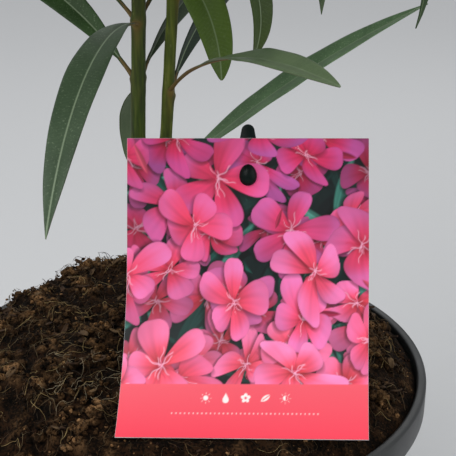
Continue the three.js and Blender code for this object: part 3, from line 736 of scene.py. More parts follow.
lowLeafColumns = (
    "name", "stem", "height", "azimuth", "rise", "droop", "sweep", "length", "width", "roll", "twist",
    "power", "tip", "neck",
)
lowLeafRows = (
    ("leaf_arching", "right", 319.2, -61.6, 41.3, 50.5, 7.4, 128, 16.7, -8.3, 29.7, 0.76, 0.52, 0.25),
    ("leaf_slanting", "right", 278.6, 4.1, 41.2, 15.2, -6.2, 141, 14.9, 25.2, -6.9, 1.2),
    ("leaf_rising", "right", 316.5, 22.5, 79.8, 56.5, 0, 122.3, 16.5, 116.7, 18.9, 0.7),
    ("leaf_inner", "left", 324.9, 48.1, 61.5, 53.8, 0, 102.6, 14.4, 101.9, 15.4, 0.82),
    ("leaf_outer", "left", 324.6, 158, 51.6, 53.1, 0, 125, 15.5, -50, 0, 1.2),
    ("leaf_hanging", "left", 380.7, -28.2, 21.1, 110.3, -3.3, 72.1, 17.1, 38.8, 1.5, 0.49, 0.44),
    ("leaf_drooping", "right", 380, -44.7, 45.3, 162.3, 4.1, 83.5, 15.7, -6.7, 8.7, 0.9, 0.36),
    ("leaf_behind", "left", 318.9, 106.7, 5.5, 101.2, -10, 64.9, 15, -50.6, -1.3, 0.68, 0.55),
    ("leaf_front", "left", 349.3, -100, 15.2, 76, -1.5, 144, 15.5, 0.8, 0, 1),
    ("leaf_high_outer", "left", 350.5, 146, 44, 52, 6, 132, 15.2, -14, 0, 1.1),
    ("leaf_high_back", "left", 352, 66, 36, 44, -5, 128, 15, 10, 0, 1.1),
    ("leaf_high_right", "right", 361, -14, 38, 46, 4, 134, 15.6, 12, 0, 1.1),
    ("leaf_high_far", "right", 362, 112, 30, 36, 4, 120, 14.8, -8, 0, 1.1),
    ("leaf_top_outer", "left", 375, 196, 42, 62, -4, 138, 15.8, 8, 0, 1.1),
    ("leaf_top_back", "left", 376, 84, 44, 56, 3, 130, 15.2, 0, 0, 1.1),
    ("leaf_top_right", "right", 384, 28, 34, 60, -6, 136, 15.6, -10, 0, 1.1),
)
lowLeaves = {}
for row in lowLeafRows:
    values = dict(zip(lowLeafColumns, row))
    lowLeaves[row[0]] = lineFromStem(stems[values["stem"]], values["height"], leafBlade["sunk"], values)

# A low leaf's upper face: its colour, the darker one of its mottling, and how strongly its midrib and the
# chalk of dried drops show. The colours are partly painted light and shade: each leaf's are lighter or darker
# by how light falls on it.
usualSkin = ("#365029", "#263c1c", 0.5, 0.1)
lowLeafSkinsLitAndShaded = {
    "leaf_arching": ("#596a4b", "#47583e", 0.16, 0.1), "leaf_slanting": ("#5e7a56", "#486143", 0.45, 0.5),
    "leaf_rising": ("#27352a", "#1e2a20", 0.75, 0.1), "leaf_inner": ("#34452b", "#273620", 0.5, 0.1),
    "leaf_hanging": ("#4a611c", "#3a4f17", 0.3, 0.1), "leaf_drooping": ("#354812", "#28380e", 0.45, 0.1),
    "leaf_behind": ("#485a28", "#394a20", 0.5, 0.1), "leaf_front": ("#3e5039", "#30412c", 0.5, 0.25),
    "leaf_outer": ("#365029", "#263c1c", 0.5, 0.25),
}
lowLeafNets = {"blade": sheetPattern(18, 72), "stalk": tubePattern(12, 60)}


def buildLowLeaf(name, leaf, draws):
    upper, dark, ribShare, chalkShare = lowLeafSkinsLitAndShaded.get(name, usualSkin)
    # The skin's colours hold painted light and shade for this leaf, besides its own green.
    skin = leafSkin("litAndShadedSkinOf_" + name, upper, dark, 0.48, ribShare, chalkShare)
    blade, stalk = lowLeafNets["blade"], lowLeafNets["stalk"]
    places, uv = bladePlaces(leaf, blade, draws.between(0, 1))
    looks = [skin, leafLooks["under"]]
    piece = addCopies("blade_" + name, [copyOf(blade, places, 0, uv)], looks, name)
    thicken(piece, bladeLook["thickness"], 1)
    addCopies("stalk_" + name, [copyOf(stalk, ribPlaces(leaf, stalk))], [leafLooks["stalk"]], name)


drawsForLooks = Draws(7)
for name, leaf in lowLeaves.items():
    buildLowLeaf(name, leaf, drawsForLooks)
print("low leaves ready")
crown = growCrown()
for mass in crown:
    buildMass(mass, drawsForLooks)
    print("mass", mass["name"], len(mass["leaves"]), "leaves", len(mass["twigs"]), "side twigs")


# Stems and boughs

stemPattern = tubePattern(56, 260)
boughPattern = tubePattern(28, 90)
stemLook = {
    "lobes": (3, 0.016, 0.03), "smallLobes": (7, 0.01, -0.05),  # how many, how deep, their turn for each mm
    "leafJoint": 1.0, "boughJoint": 1.1, "facing": 0.62, "shelf": 0.55, "shelfHeight": 1.9,
    "swell": 0.38, "swellBelow": 11, "swellAbove": 1.6, "ring": 0.1, "ringHeight": 2.4,
    "jointShelf": 0.75, "jointSwell": 0.45, "jointMost": 0.8, "rough": 0.1, "roughHeight": 7,
}
# Scars of dropped leaves, in whorls of three
scars = {"rows": 4, "first": 226, "step": 23, "size": 0.45, "turn": 60, "from": 20}
boughLook = {"collar": 0.5, "collarLength": 3.2, "bud": 0.12, "budAt": 0.55, "budLength": 2.4, "lobe": 0.02}


def jointsOf(name, stem):
    joints = [(leaf["height"], leaf["azimuth"], stemLook["leafJoint"])
              for leaf in lowLeaves.values() if leaf["stem"] == name]
    joints += [(stem["fork"] - spec["below"], spec["azimuth"], stemLook["boughJoint"])
               for spec in boughs if spec["stem"] == name]
    for i in range(scars["rows"]):
        for k in range(3):
            azimuth = scars["turn"] * i + 120 * k + scars["from"]
            joints.append((scars["first"] + scars["step"] * i, azimuth, scars["size"]))
    return joints


def buildStem(name, stem):
    foot = footHeight + clearance
    z = foot + (stem["fork"] - foot) * stemPattern["t"]
    angle = stemPattern["angle"]
    count, depth, turn = stemLook["lobes"]
    smallCount, smallDepth, smallTurn = stemLook["smallLobes"]
    lobes = depth * np.sin(count * angle + z * turn)
    radius = stemRadius(stem, z) * (1 + lobes + smallDepth * np.sin(smallCount * angle + z * smallTurn))
    joint = np.zeros_like(z)
    for height, azimuth, size in jointsOf(name, stem):
        turn = (angle - math.radians(azimuth) + math.pi) % fullTurn - math.pi
        facing = np.exp(-(turn / stemLook["facing"]) ** 2)
        shelf = np.exp(-((z - height) / stemLook["shelfHeight"]) ** 2)
        reach = np.where(z < height, stemLook["swellBelow"], stemLook["swellAbove"])
        swell = np.exp(-((z - height) / reach) ** 2)
        radius += size * facing * (stemLook["shelf"] * shelf + stemLook["swell"] * swell)
        radius += size * stemLook["ring"] * np.exp(-((z - height) / stemLook["ringHeight"]) ** 2)
        shown = facing * (stemLook["jointShelf"] * shelf + stemLook["jointSwell"] * swell)
        joint = np.maximum(joint, shown * min(1, size + 0.2))
    seats = zip((np.cos(angle) * 2 + np.sin(angle)) * 1.6, z / stemLook["roughHeight"])
    radius += stemLook["rough"] * np.array([noise.noise(Vector((a, b, 3.1))) for a, b in seats])
    radius = radius * stemPattern["open"]
    places = stemPoint(stem, z) + np.stack([np.cos(angle) * radius, np.sin(angle) * radius, 0 * z], -1)
    copies = [copyOf(stemPattern, places)]
    piece = addCopies("bark_stem_" + name, copies, [bark[name]], "stem_" + name)
    addValues(piece, "joint", np.clip(joint, 0, stemLook["jointMost"]))


def buildBough(spec):
    line = boughLine(spec)

    def radiusAt(t, angle):
        radius = bough["startRadius"] + (bough["tipRadius"] - bough["startRadius"]) * t
        collar = boughLook["collar"] * np.exp(-t * line["length"] / boughLook["collarLength"])
        budward = (t - boughLook["budAt"]) * line["length"] / boughLook["budLength"]
        bud = boughLook["bud"] * np.exp(-budward ** 2)
        return radius * (1 + collar + bud + boughLook["lobe"] * np.sin(3 * angle + 9 * t))

    name = "bough_" + spec["name"]
    copies = [copyOf(boughPattern, limbPlaces(line, boughPattern, radiusAt))]
    addCopies("bark_" + name, copies, [bark["left"]], name)


for name, stem in stems.items():
    buildStem(name, stem)
for spec in boughs:
    buildBough(spec)
print("stems and boughs ready")


# The card and its place

card = {
    "width": 105, "length": 130, "thickness": 0.6, "topCentre": (30.7, -24, 304), "leanTop": 22.5,
    "leanFoot": 50, "straight": 55, "drift": -2.8, "curl": 4, "holeDown": 16, "holeRadius": 2.7,
    "bendSteps": 40,
}


def cardBend(down):
    # 0 where the card is straight, and 1 at its foot
    return np.maximum(0, (down - card["straight"]) / (card["length"] - card["straight"]))


def cardLean(down):
    return np.radians(card["leanTop"] + (card["leanFoot"] - card["leanTop"]) * cardBend(down))


def cardPoint(across, down):
    # The card's middle surface: across from its centre line, down from its upper edge.
    across, down = np.broadcast_arrays(np.asarray(across, float), np.asarray(down, float))
    steps = (np.arange(card["bendSteps"]) + 0.5) / card["bendSteps"]
    leans = cardLean(down[..., None] * steps)
    y = -np.sin(leans).mean(-1) * down
    z = -np.cos(leans).mean(-1) * down
    bent = cardBend(down)
    corner = np.maximum(0, 0.5 - across / card["width"])
    here = cardLean(down)
    normal = np.stack([np.zeros_like(here), -np.cos(here), np.sin(here)], -1)
    x0, y0, z0 = card["topCentre"]
    point = np.stack([x0 + across + card["drift"] * bent ** 1.5, y0 + y, z0 + z], -1)
    return point + normal * (card["curl"] * corner * bent ** 2)[..., None], normal


def cardSheet(columns, rows, lift, inset):
    # A grid laid on the card, with its hole punched: faces in the hole go, and its edge is drawn round.
    bm = bmesh.new()
    bmesh.ops.create_grid(bm, x_segments=columns, y_segments=rows, size=1)
    hole = Vector((0, -card["holeDown"]))
    for v in bm.verts:
        across = v.co.x * (card["width"] / 2 - inset)
        v.co = Vector((across, v.co.y * (card["length"] / 2 - inset) - card["length"] / 2, 0))
    inside = [f for f in bm.faces if (f.calc_center_median().xy - hole).length < card["holeRadius"]]
    bmesh.ops.delete(bm, geom=inside, context="FACES")
    for v in bm.verts:
        away = v.co.xy - hole
        if v.is_boundary and away.length < 2 * card["holeRadius"]:
            v.co.xy = hole + away.normalized() * card["holeRadius"]
    flat = np.array([v.co[:2] for v in bm.verts])
    points, normals = cardPoint(flat[:, 0], -flat[:, 1])
    for v, place in zip(bm.verts, points + normals * lift):
        v.co = place
    return bm, flat


# Soil

def soilHeight(x, y):
    radius = pot["rimRadius"] - pot["rimWall"] - clearance
    edgeShare = np.minimum(1, np.hypot(x, y) / radius)
    cx, cy = soil["crestAt"]
    pull = 1 - edgeShare
    share = np.minimum(1, np.hypot(x - cx * pull, y - cy * pull) / radius)
    rise = (soil["crest"] - soil["edge"]) * (1 - share ** soil["shoulder"]) ** 0.9
    # The broad lumps are the same waves as in the solids.
    lumps = np.sin(x * 0.21 + 1.3) * np.cos(y * 0.17 - 0.6)
    lumps = lumps + 0.6 * np.sin(x * 0.09 - y * 0.13 + 2) + 0.5 * np.cos(x * 0.33 + y * 0.27)
    return soil["edge"] + rise + soil["lump"] * lumps * (1 - share ** 8)


peatLook = {
    "lump": 7, "fine": 1.1, "fineShare": 0.8, "patch": 16, "airing": (0.4, 0.6, 0.15, 1.35),
    "moistAndShaded": ((0.72, "#030201"), (0.90, "#110a05"), (1.0, "#25160b")),
    "driedAndLit": ((0.68, "#2a1b0f"), (0.86, "#66482b"), (1.0, "#9d7852")),
}


def peatMix():
    # Moist peat and coir: nearly black in the gaps, brown where the lumps have dried, no gloss. The black of
    # the gaps is partly painted shade, and the brown of the raised tops partly painted light.
    material, tree, place = startMaterial("peatMix", {"Roughness": 0.95, "Specular IOR Level": 0.08})
    lumps = {"Vector": place, "Scale": 1 / (peatLook["lump"] * mm), "Detail": 6, "Roughness": 0.7}
    lump = addNode(tree, "TexNoise", lumps)["Fac"]
    grains = {"Vector": place, "Scale": 1 / (peatLook["fine"] * mm), "Detail": 4}
    fine = addNode(tree, "TexNoise", grains)["Fac"]
    patches = {"Vector": place, "Scale": 1 / (peatLook["patch"] * mm), "Detail": 2}
    patch = addNode(tree, "TexNoise", patches)["Fac"]
    both = addNode(tree, "Math", [fine, peatLook["fineShare"], lump], operation="MULTIPLY_ADD")["Value"]
    moistAndShaded = addNode(tree, "ValToRGB", [both], stops=peatLook["moistAndShaded"])["Color"]
    driedAndLit = addNode(tree, "ValToRGB", [both], stops=peatLook["driedAndLit"])["Color"]
    raised = addNode(tree, "Attribute", attribute_name="dry")["Fac"]
    airing = addNode(tree, "MapRange", [patch, *peatLook["airing"]])["Result"]
    dry = addNode(tree, "Math", [raised, airing], operation="MULTIPLY", use_clamp=True)["Value"]
    earth = addNode(tree, "Mix", {0: dry, 6: moistAndShaded, 7: driedAndLit}, data_type="RGBA")[2]
    linkSurface(tree, earth, both, 1.0, 1.0)
    return material


def drySliver(name, light, dark):
    # Straw, coir and bark slivers: dry, matt, tan to brown, streaked along.
    material, tree, place = startMaterial(name, {"Roughness": 0.85, "Specular IOR Level": 0.25})
    mix = addNode(tree, "TexNoise", {"Vector": place, "Scale": 1 / (3.2 * mm), "Detail": 3})["Fac"]
    colour = addNode(tree, "ValToRGB", [mix], stops=[(0.35, dark), (0.65, light)])["Color"]
    linkSurface(tree, colour, mix, 0.1, 0.4)
    return material


soilLook = {
    "segments": 300, "rings": 120, "wallRings": 8, "gathered": 0.85, "turnedIn": 0.9, "margin": 1.5,
    "rough": 2.3, "roughSize": 8, "fine": 0.8, "fineSize": 1.9, "edgeEase": 6, "driedAndLitOver": 5.5,
    "besideCard": 5, "underCard": 1, "beforeCard": 0.3, "nearBarred": (1.5, 0.8),
}
clumpLook = {
    "count": 260, "reach": (3, 11), "reachPower": 1.8, "margin": 3, "rise": 0.34, "sunk": 0.42,
    "onCrest": ((-55, 68, 11), (-66, 60, 10), (-46, 72, 9)),  # where three lie, and how far they reach
    "partsPerReach": 1.1, "part": (1.4, 4.4), "smallerOut": 0.35, "sunkByCard": 0.95,
}
crumbLook = {
    "count": 3800, "size": (0.35, 1.4), "sizePower": 2.2, "margin": 1.5, "raised": 0.15, "dryPower": 2.6,
    "rough": 0.62, "seat": 40, "waves": ((1.3, 1), (3, 0.6)), "wide": (0.55, 0.95), "tall": (0.5, 0.85),
}
soilReach = pot["rimRadius"] - pot["rimWall"]
reliefHalf = 120
relief = np.zeros((2 * reliefHalf, 2 * reliefHalf))  # the top of what lies on each square millimetre
cardFoot = cardPoint(0, np.arange(card["length"], 90, -1))[0]  # the card's lower part, from its foot up


def ceilingAt(x, y):
    # The soil stays under the card, and low in front of its foot, so that the card is seen whole.
    foot = cardFoot[0]
    if abs(x - foot[0]) > card["width"] / 2 + soilLook["besideCard"] or y > cardFoot[-1][1]:
        return math.inf
    if y < foot[1]:
        return foot[2] - soilLook["underCard"] + (foot[1] - y) * soilLook["beforeCard"]
    return float(np.interp(y, cardFoot[:, 1], cardFoot[:, 2])) - soilLook["underCard"]


def groundAt(x, y):
    rough = noise.noise(Vector((x, y, 7)) / soilLook["roughSize"])
    fine = noise.noise(Vector((x, y, 3)) / soilLook["fineSize"])
    edge = min(1, max(0, (soilReach - math.hypot(x, y)) / soilLook["edgeEase"]))
    bumps = (soilLook["rough"] * rough + soilLook["fine"] * fine) * edge
    return min(ceilingAt(x, y), float(soilHeight(x, y)) + bumps)


def raiseRelief(places):
    cells = (places[:, :2] + reliefHalf).astype(int)
    np.maximum.at(relief, (cells[:, 0], cells[:, 1]), places[:, 2])


def surfaceAt(x, y):
    i, j = int(x) + reliefHalf, int(y) + reliefHalf
    return max(groundAt(x, y), relief[i - 1:i + 2, j - 1:j + 2].max())


def buildGround():
    # A ball's net: its upper rings are the soil's top, and its last ones go down the pot's wall and in.
    bm = bmesh.new()
    dryAndLitLayer = bm.verts.layers.float.new("dry")
    rings, wallRings = soilLook["rings"], soilLook["wallRings"]
    bmesh.ops.create_uvsphere(bm, u_segments=soilLook["segments"], v_segments=rings, radius=1)
    topRings = rings - wallRings
    radius = soilReach - 2 * clearance
    shoulder = pot["height"] - pot["rimHeight"]
    bottom = pot["floor"] + clearance
    for v in bm.verts:
        x, y, z = v.co
        ring = round(math.acos(max(-1, min(1, z))) / math.pi * rings)
        angle = math.atan2(y, x)
        if ring <= topRings:
            reach = radius * (ring / topRings) ** soilLook["gathered"]
            x, y = reach * math.cos(angle), reach * math.sin(angle)
            z = groundAt(x, y)
            # Painted shade and light, partly dryness: the ground is darker in its hollows and lighter where
            # it stands raised.
            v[dryAndLitLayer] = min(1, max(0, (z - float(soilHeight(x, y))) / soilLook["driedAndLitOver"]))
        else:
            down, straight = (ring - topRings) / wallRings, soilLook["turnedIn"]
            z = soil["edge"] + (bottom - soil["edge"]) * min(1, down * 1.15)
            wall = pot["footRadius"] + (pot["shoulderRadius"] - pot["footRadius"]) * z / shoulder
            inward = 1 if down < straight else (1 - down) / (1 - straight) * straight
            reach = (wall - pot["wall"] - clearance) * inward
            x, y = reach * math.cos(angle), reach * math.sin(angle)
        v.co = (x, y, z)
    addShape("soil_mound", bm, peat, "soil")


def scatterPlace(draws, margin):
    radius = (soilReach - margin) * math.sqrt(draws.between(0, 1))
    angle = draws.angle()
    return radius * math.cos(angle), radius * math.sin(angle)


def keepOuts():
    # The card's foot and the peg, as points that what lies on the soil keeps clear of
    across, down = np.meshgrid(np.arange(-52.5, 52.6, 2.1), np.arange(104, 131, 2))
    onCard, _ = cardPoint(across.ravel(), down.ravel())
    along = np.arange(80, 154, 2.5)
    lean = math.radians(card["leanTop"])
    x, y, z = card["topCentre"]
    onPeg = np.stack([np.full_like(along, x), y + 2 - along * math.sin(lean), z - along * math.cos(lean)], -1)
    return np.vstack([onCard, onPeg])


def isFree(points, gap):
    return ((points[:, None] - barred[None]) ** 2).sum(-1).min() > gap * gap


def hasRoom(centre, size):
    share, more = soilLook["nearBarred"]
    return isFree(centre[None], size * share + more)


def turned(draws):
    axis = Vector((draws.about(1), draws.about(1), draws.about(1) + 0.01)).normalized()
    return np.array(Matrix.Rotation(draws.angle(), 3, axis))


def roughBall(ball, size, draws):
    # A crumb of peat: a ball drawn out of round by smooth noise, each from its own place in the noise.
    seat = Vector([draws.about(crumbLook["seat"]) for _ in range(3)])
    swell = [sum(share * noise.noise(Vector(p) * often + seat) for often, share in crumbLook["waves"])
             for p in ball["base"]]
    squash = np.array([1, draws.between(*crumbLook["wide"]), draws.between(*crumbLook["tall"])])
    shape = ball["base"] * (1 + crumbLook["rough"] * np.array(swell))[:, None] * squash * size
    return shape @ turned(draws).T


def addPeat(name, copies, dryAndLitShares):
    piece = addCopies(name, copies, [peat], "soil")
    addValues(piece, "dry", np.clip(np.concatenate(dryAndLitShares), 0, 1))


def buildClumps(draws):
    ball = ballPattern(2)
    copies, dryAndLitShares = [], []
    for i in range(clumpLook["count"]):
        reach = draws.mostlyLow(*clumpLook["reach"], clumpLook["reachPower"])
        x, y = scatterPlace(draws, reach + clumpLook["margin"])
        if i < len(clumpLook["onCrest"]):
            x, y, reach = clumpLook["onCrest"][i]
        for k in range(math.ceil(reach * clumpLook["partsPerReach"])):
            angle, out = draws.angle(), reach * math.sqrt(draws.between(0, 1))
            size = draws.between(*clumpLook["part"]) * (1 - clumpLook["smallerOut"] * out / reach)
            px, py = x + out * math.cos(angle), y + out * math.sin(angle)
            ground = groundAt(px, py)
            rise = clumpLook["rise"] * reach * (1 - (out / reach) ** 2) - clumpLook["sunk"] * size
            if ceilingAt(px, py) < math.inf:
                rise = -clumpLook["sunkByCard"] * size
            centre = np.array([px, py, ground + rise])
            places = centre + roughBall(ball, size, draws)
            if hasRoom(centre, size):
                copies.append(copyOf(ball, places))
                # Painted light and shade, partly dryness: a clump's parts are lighter the higher they stand
                # above the ground.
                dryAndLitShares.append((places[:, 2] - ground) / soilLook["driedAndLitOver"])
                raiseRelief(places)
    addPeat("soil_clumps", copies, dryAndLitShares)


def buildCrumbs(draws):
    ball = ballPattern(1)
    copies, dryAndLitShares = [], []
    for i in range(crumbLook["count"]):
        size = draws.mostlyLow(*crumbLook["size"], crumbLook["sizePower"])
        x, y = scatterPlace(draws, size + crumbLook["margin"])
        centre = np.array([x, y, surfaceAt(x, y) + size * crumbLook["raised"]])
        places = centre + roughBall(ball, size, draws)
        if hasRoom(centre, size):
            copies.append(copyOf(ball, places))
            dryAndLitShares.append(np.full(len(places), draws.mostlyLow(0, 1, crumbLook["dryPower"])))
    addPeat("soil_crumbs", copies, dryAndLitShares)


# Strands on the soil. The real hairs are thinner still, and are drawn as thick as they need to show.
fibreLook = {
    "count": 640, "steps": 11, "length": (5, 22), "lengthPower": 2.2, "radius": (0.07, 0.19), "gap": 1.4,
}
nest = {"count": 42, "place": (-37, -48), "spread": 21, "length": (6, 17), "radius": (0.05, 0.1)}
hairLook = {"count": 2600, "steps": 8, "length": (2.5, 9), "radius": (0.05, 0.1), "gap": 1}
standing = {
    "count": 150, "length": (4, 9), "rise": (55, 88), "bend": (50, 150), "bendPower": 1.4, "turn": 1.2,
}
# These stand out against the light at the back.
wisps = {"count": 7, "place": (-42, 74), "spread": 7, "length": (8, 13)}
strandLook = {
    "turn": 2.4, "wave": 0.6, "waves": 6, "evened": 5, "above": 0.1, "arch": 0.12, "rooted": 0.6,
    "thinning": 0.5, "margin": 4, "standingMargin": 8,
}


def isWithin(px, py):
    return np.hypot(px, py).max() <= soilReach - soilLook["margin"]


def layStrand(x, y, length, steps, draws):
    # The way of a strand that lies on the soil: it wanders over it, and bridges the hollows.
    s = np.linspace(0, 1, steps)
    start, bend, phase = draws.angle(), draws.about(strandLook["turn"]), draws.between(0, 6.3)
    turn = start + bend * s + strandLook["wave"] * np.sin(phase + s * strandLook["waves"])
    px = x + np.cumsum(np.cos(turn)) * length / steps
    py = y + np.cumsum(np.sin(turn)) * length / steps
    if not isWithin(px, py):
        return None
    top = np.array([surfaceAt(a, b) for a, b in zip(px, py)])
    evened = strandLook["evened"]
    eased = np.convolve(np.pad(top, evened // 2, mode="edge"), np.ones(evened) / evened, mode="valid")
    lift = draws.between(0, strandLook["arch"]) * length * np.sin(math.pi * s)
    return np.stack([px, py, np.maximum(top, eased) + strandLook["above"] + lift], -1)


def standStrand(x, y, length, steps, draws):
    # The way of a hair that stands up from the soil and bends over at its tip.
    s = np.linspace(0, 1, steps)
    turn = draws.angle() + draws.about(standing["turn"]) * s
    start, bend = draws.between(*standing["rise"]), draws.between(*standing["bend"])
    rise = np.radians(start - bend * s ** standing["bendPower"])
    step = length / steps
    px = x + np.cumsum(np.cos(turn) * np.cos(rise)) * step
    py = y + np.cumsum(np.sin(turn) * np.cos(rise)) * step
    if not isWithin(px, py):
        return None
    return np.stack([px, py, surfaceAt(x, y) - strandLook["rooted"] + np.cumsum(np.sin(rise)) * step], -1)


def strandCopy(pattern, points, radius, look):
    place = pattern["t"] * (len(points) - 1)
    i = np.minimum(place.astype(int), len(points) - 2)
    share = (place - i)[:, None]
    middle = points[i] * (1 - share) + points[i + 1] * share
    tangent = points[i + 1] - points[i]
    tangent /= np.linalg.norm(tangent, axis=1, keepdims=True)
    first = np.cross(tangent, [0.02, 0.03, 1.0])
    first /= np.linalg.norm(first, axis=1, keepdims=True)
    second = np.cross(tangent, first)
    angle = pattern["angle"][:, None]
    size = (radius * pattern["open"] * (1 - strandLook["thinning"] * pattern["t"]))[:, None]
    return copyOf(pattern, middle + (first * np.cos(angle) + second * np.sin(angle)) * size, look)


def buildFibres(draws):
    steps, gap = fibreLook["steps"], fibreLook["gap"]
    strand, copies = tubePattern(4, steps), []
    for i in range(fibreLook["count"]):
        x, y = scatterPlace(draws, strandLook["margin"])
        length = draws.mostlyLow(*fibreLook["length"], fibreLook["lengthPower"])
        points = layStrand(x, y, length, steps, draws)
        radius = draws.between(*fibreLook["radius"])
        if points is not None and isFree(points, gap):
            copies.append(strandCopy(strand, points, radius, i % 3))
    for i in range(nest["count"]):
        x, y = (middle + draws.about(nest["spread"]) for middle in nest["place"])
        points = layStrand(x, y, draws.between(*nest["length"]), steps, draws)
        if points is not None and isFree(points, gap):
            copies.append(strandCopy(strand, points, draws.between(*nest["radius"]), 3))
    looks = [
        drySliver("strawTan", "#a08a5c", "#655030"), drySliver("coirBrown", "#5c4630", "#352619"),
        drySliver("rootPale", "#6f5f45", "#41331f"), drySliver("threadPale", "#b7a98c", "#7c6c50"),
    ]
    addCopies("soil_fibres", copies, looks, "soil")


def buildHairs(draws):
    steps, gap = hairLook["steps"], hairLook["gap"]
    strand, copies = tubePattern(3, steps), []
    for i in range(hairLook["count"]):
        x, y = scatterPlace(draws, strandLook["margin"])
        points = layStrand(x, y, draws.between(*hairLook["length"]), steps, draws)
        if points is not None and isFree(points, gap):
            copies.append(strandCopy(strand, points, draws.between(*hairLook["radius"]), i % 2))
    for i in range(standing["count"] + wisps["count"]):
        x, y = scatterPlace(draws, strandLook["standingMargin"])
        length = draws.between(*standing["length"])
        if i < wisps["count"]:
            x, y = (middle + draws.about(wisps["spread"]) for middle in wisps["place"])
            length = draws.between(*wisps["length"])
        points = standStrand(x, y, length, steps, draws)
        if points is not None and isFree(points, gap):
            copies.append(strandCopy(strand, points, 2 * hairLook["radius"][1], 1))
    looks = [drySliver("rootHair", "#6a573c", "#3d2f20"), drySliver("peatHair", "#352819", "#1a120b")]
    addCopies("soil_hairs", copies, looks, "soil")


flakeLook = {
    "count": 220, "size": (1.2, 3.6), "width": (0.2, 0.5), "narrowing": 0.6, "narrowPower": (1.5, 4),
    "bend": 0.3, "hollow": 0.2, "tilt": (0.7, 0.6), "raised": 0.2, "margin": 2, "gap": 1.2, "thickness": 0.4,
}


def buildFlakes(draws):
    # Bark chips and bits of dead leaf: small bent sheets with some thickness.
    flake = sheetPattern(3, 4)
    across, along, _ = flake["base"].T
    copies = []
    for i in range(flakeLook["count"]):
        size = draws.between(*flakeLook["size"])
        x, y = scatterPlace(draws, size + flakeLook["margin"])
        width = draws.between(*flakeLook["width"])
        outline = 1 - flakeLook["narrowing"] * np.abs(along) ** draws.between(*flakeLook["narrowPower"])
        bent = draws.about(flakeLook["bend"]) * along ** 2 + flakeLook["hollow"] * across ** 2
        shape = np.stack([across * width * outline, along, bent], -1)
        tilts = [Matrix.Rotation(draws.about(tilt), 3, axis) for tilt, axis in zip(flakeLook["tilt"], "XY")]
        tilt = np.array(tilts[0] @ tilts[1])
        spin = np.array(Matrix.Rotation(draws.between(0, 6.3), 3, "Z"))
        centre = np.array([x, y, surfaceAt(x, y) + flakeLook["raised"]])
        if isFree(centre[None], size + flakeLook["gap"]):
            copies.append(copyOf(flake, centre + (shape * size) @ tilt.T @ spin.T, i % 2))
    looks = [drySliver("barkChip", "#4a3625", "#281b12"), drySliver("deadLeaf", "#6b553a", "#3f2e1f")]
    thicken(addCopies("soil_flakes", copies, looks, "soil"), flakeLook["thickness"])


peat = peatMix()
barred = keepOuts()
drawsForSoil = Draws(19)
buildGround()
for build in (buildClumps, buildCrumbs, buildFibres, buildHairs, buildFlakes):
    build(drawsForSoil)
print("soil ready")


# Pot

def mouldedPlastic():
    # Injection-moulded polypropylene, carbon black: satin, finely pebbled, a little dusty with peat.
    material, tree, place = startMaterial("mouldedPolypropylene", {"Roughness": 0.48, "IOR": 1.49})
    dust = addNode(tree, "TexNoise", {"Vector": place, "Scale": 1 / (38 * mm), "Detail": 6})["Fac"]
    pebble = addNode(tree, "TexNoise", {"Vector": place, "Scale": 1 / (0.9 * mm), "Detail": 2})["Fac"]
    blacks = [(0.42, "#1d1f20"), (0.62, "#292b2b"), (0.80, "#3d3a35")]
    colour = addNode(tree, "ValToRGB", [dust], stops=blacks)["Color"]
    rough = addNode(tree, "MapRange", [dust, 0.35, 0.75, 0.4, 0.66])["Result"]
    linkSurface(tree, colour, pebble, 0.1, 0.3, rough)
    return material


def potOutline():
    shoulder = pot["height"] - pot["rimHeight"]
    mouth = pot["rimRadius"] - pot["rimWall"]
    return [
        (pot["footRadius"], 0), (pot["shoulderRadius"], shoulder), (pot["rimRadius"], shoulder),
        (pot["rimRadius"], pot["height"]), (mouth, pot["height"]), (mouth, shoulder + 2),
        (pot["shoulderRadius"] - pot["wall"], shoulder - 3), (pot["footRadius"] - pot["wall"], pot["floor"]),
    ]


def buildPot():
    bm = bmesh.new()
    corners = [bm.verts.new((x, 0, z)) for x, z in [(0, 0)] + potOutline() + [(0, pot["floor"])]]
    for a, b in zip(corners, corners[1:]):
        bm.edges.new((a, b))
    bmesh.ops.bevel(
        bm, geom=corners[1:-1], offset=pot["rimRound"], offset_type="OFFSET", segments=3, profile=0.5,
        affect="VERTICES", material=-1,
    )
    bmesh.ops.spin(
        bm, geom=bm.verts[:] + bm.edges[:], cent=(0, 0, 0), axis=(0, 0, 1), angle=fullTurn,
        steps=pot["segments"], use_merge=True, use_duplicate=False,
    )
    bmesh.ops.remove_doubles(bm, verts=bm.verts, dist=1e-3)
    bmesh.ops.recalc_face_normals(bm, faces=bm.faces)
    piece = addShape("pot_shell", bm, mouldedPlastic(), "pot")
    drill(piece)
    piece.data.set_sharp_from_angle(angle=math.radians(38))


def drill(piece):
    # Cuts the drain holes through the floor.
    bm = bmesh.new()
    for i in range(pot["drainHoles"]):
        angle = (i + 0.5) / pot["drainHoles"] * fullTurn
        away = Vector((math.cos(angle), math.sin(angle), 0)) * pot["drainHoleRing"]
        bmesh.ops.create_cone(
            bm, cap_ends=True, segments=40, radius1=pot["drainHoleRadius"], radius2=pot["drainHoleRadius"],
            depth=4 * pot["floor"], matrix=Matrix.Translation(away),
        )
    bmesh.ops.scale(bm, vec=(mm, mm, mm), verts=bm.verts)
    drains = bpy.data.meshes.new("drains")
    bm.to_mesh(drains)
    bm.free()
    cutter = bpy.data.objects.new("drains", drains)
    bpy.context.scene.collection.objects.link(cutter)
    cut = piece.modifiers.new("drains", "BOOLEAN")
    cut.object = cutter
    cut.operation = "DIFFERENCE"
    cut.solver = "EXACT"
    evaluated = piece.evaluated_get(bpy.context.evaluated_depsgraph_get())
    drained = bpy.data.meshes.new_from_object(evaluated)
    piece.modifiers.clear()
    piece.data = drained
    bpy.data.objects.remove(cutter)


buildPot()
print("pot ready")


# Card: a printed face on a white plastic sheet

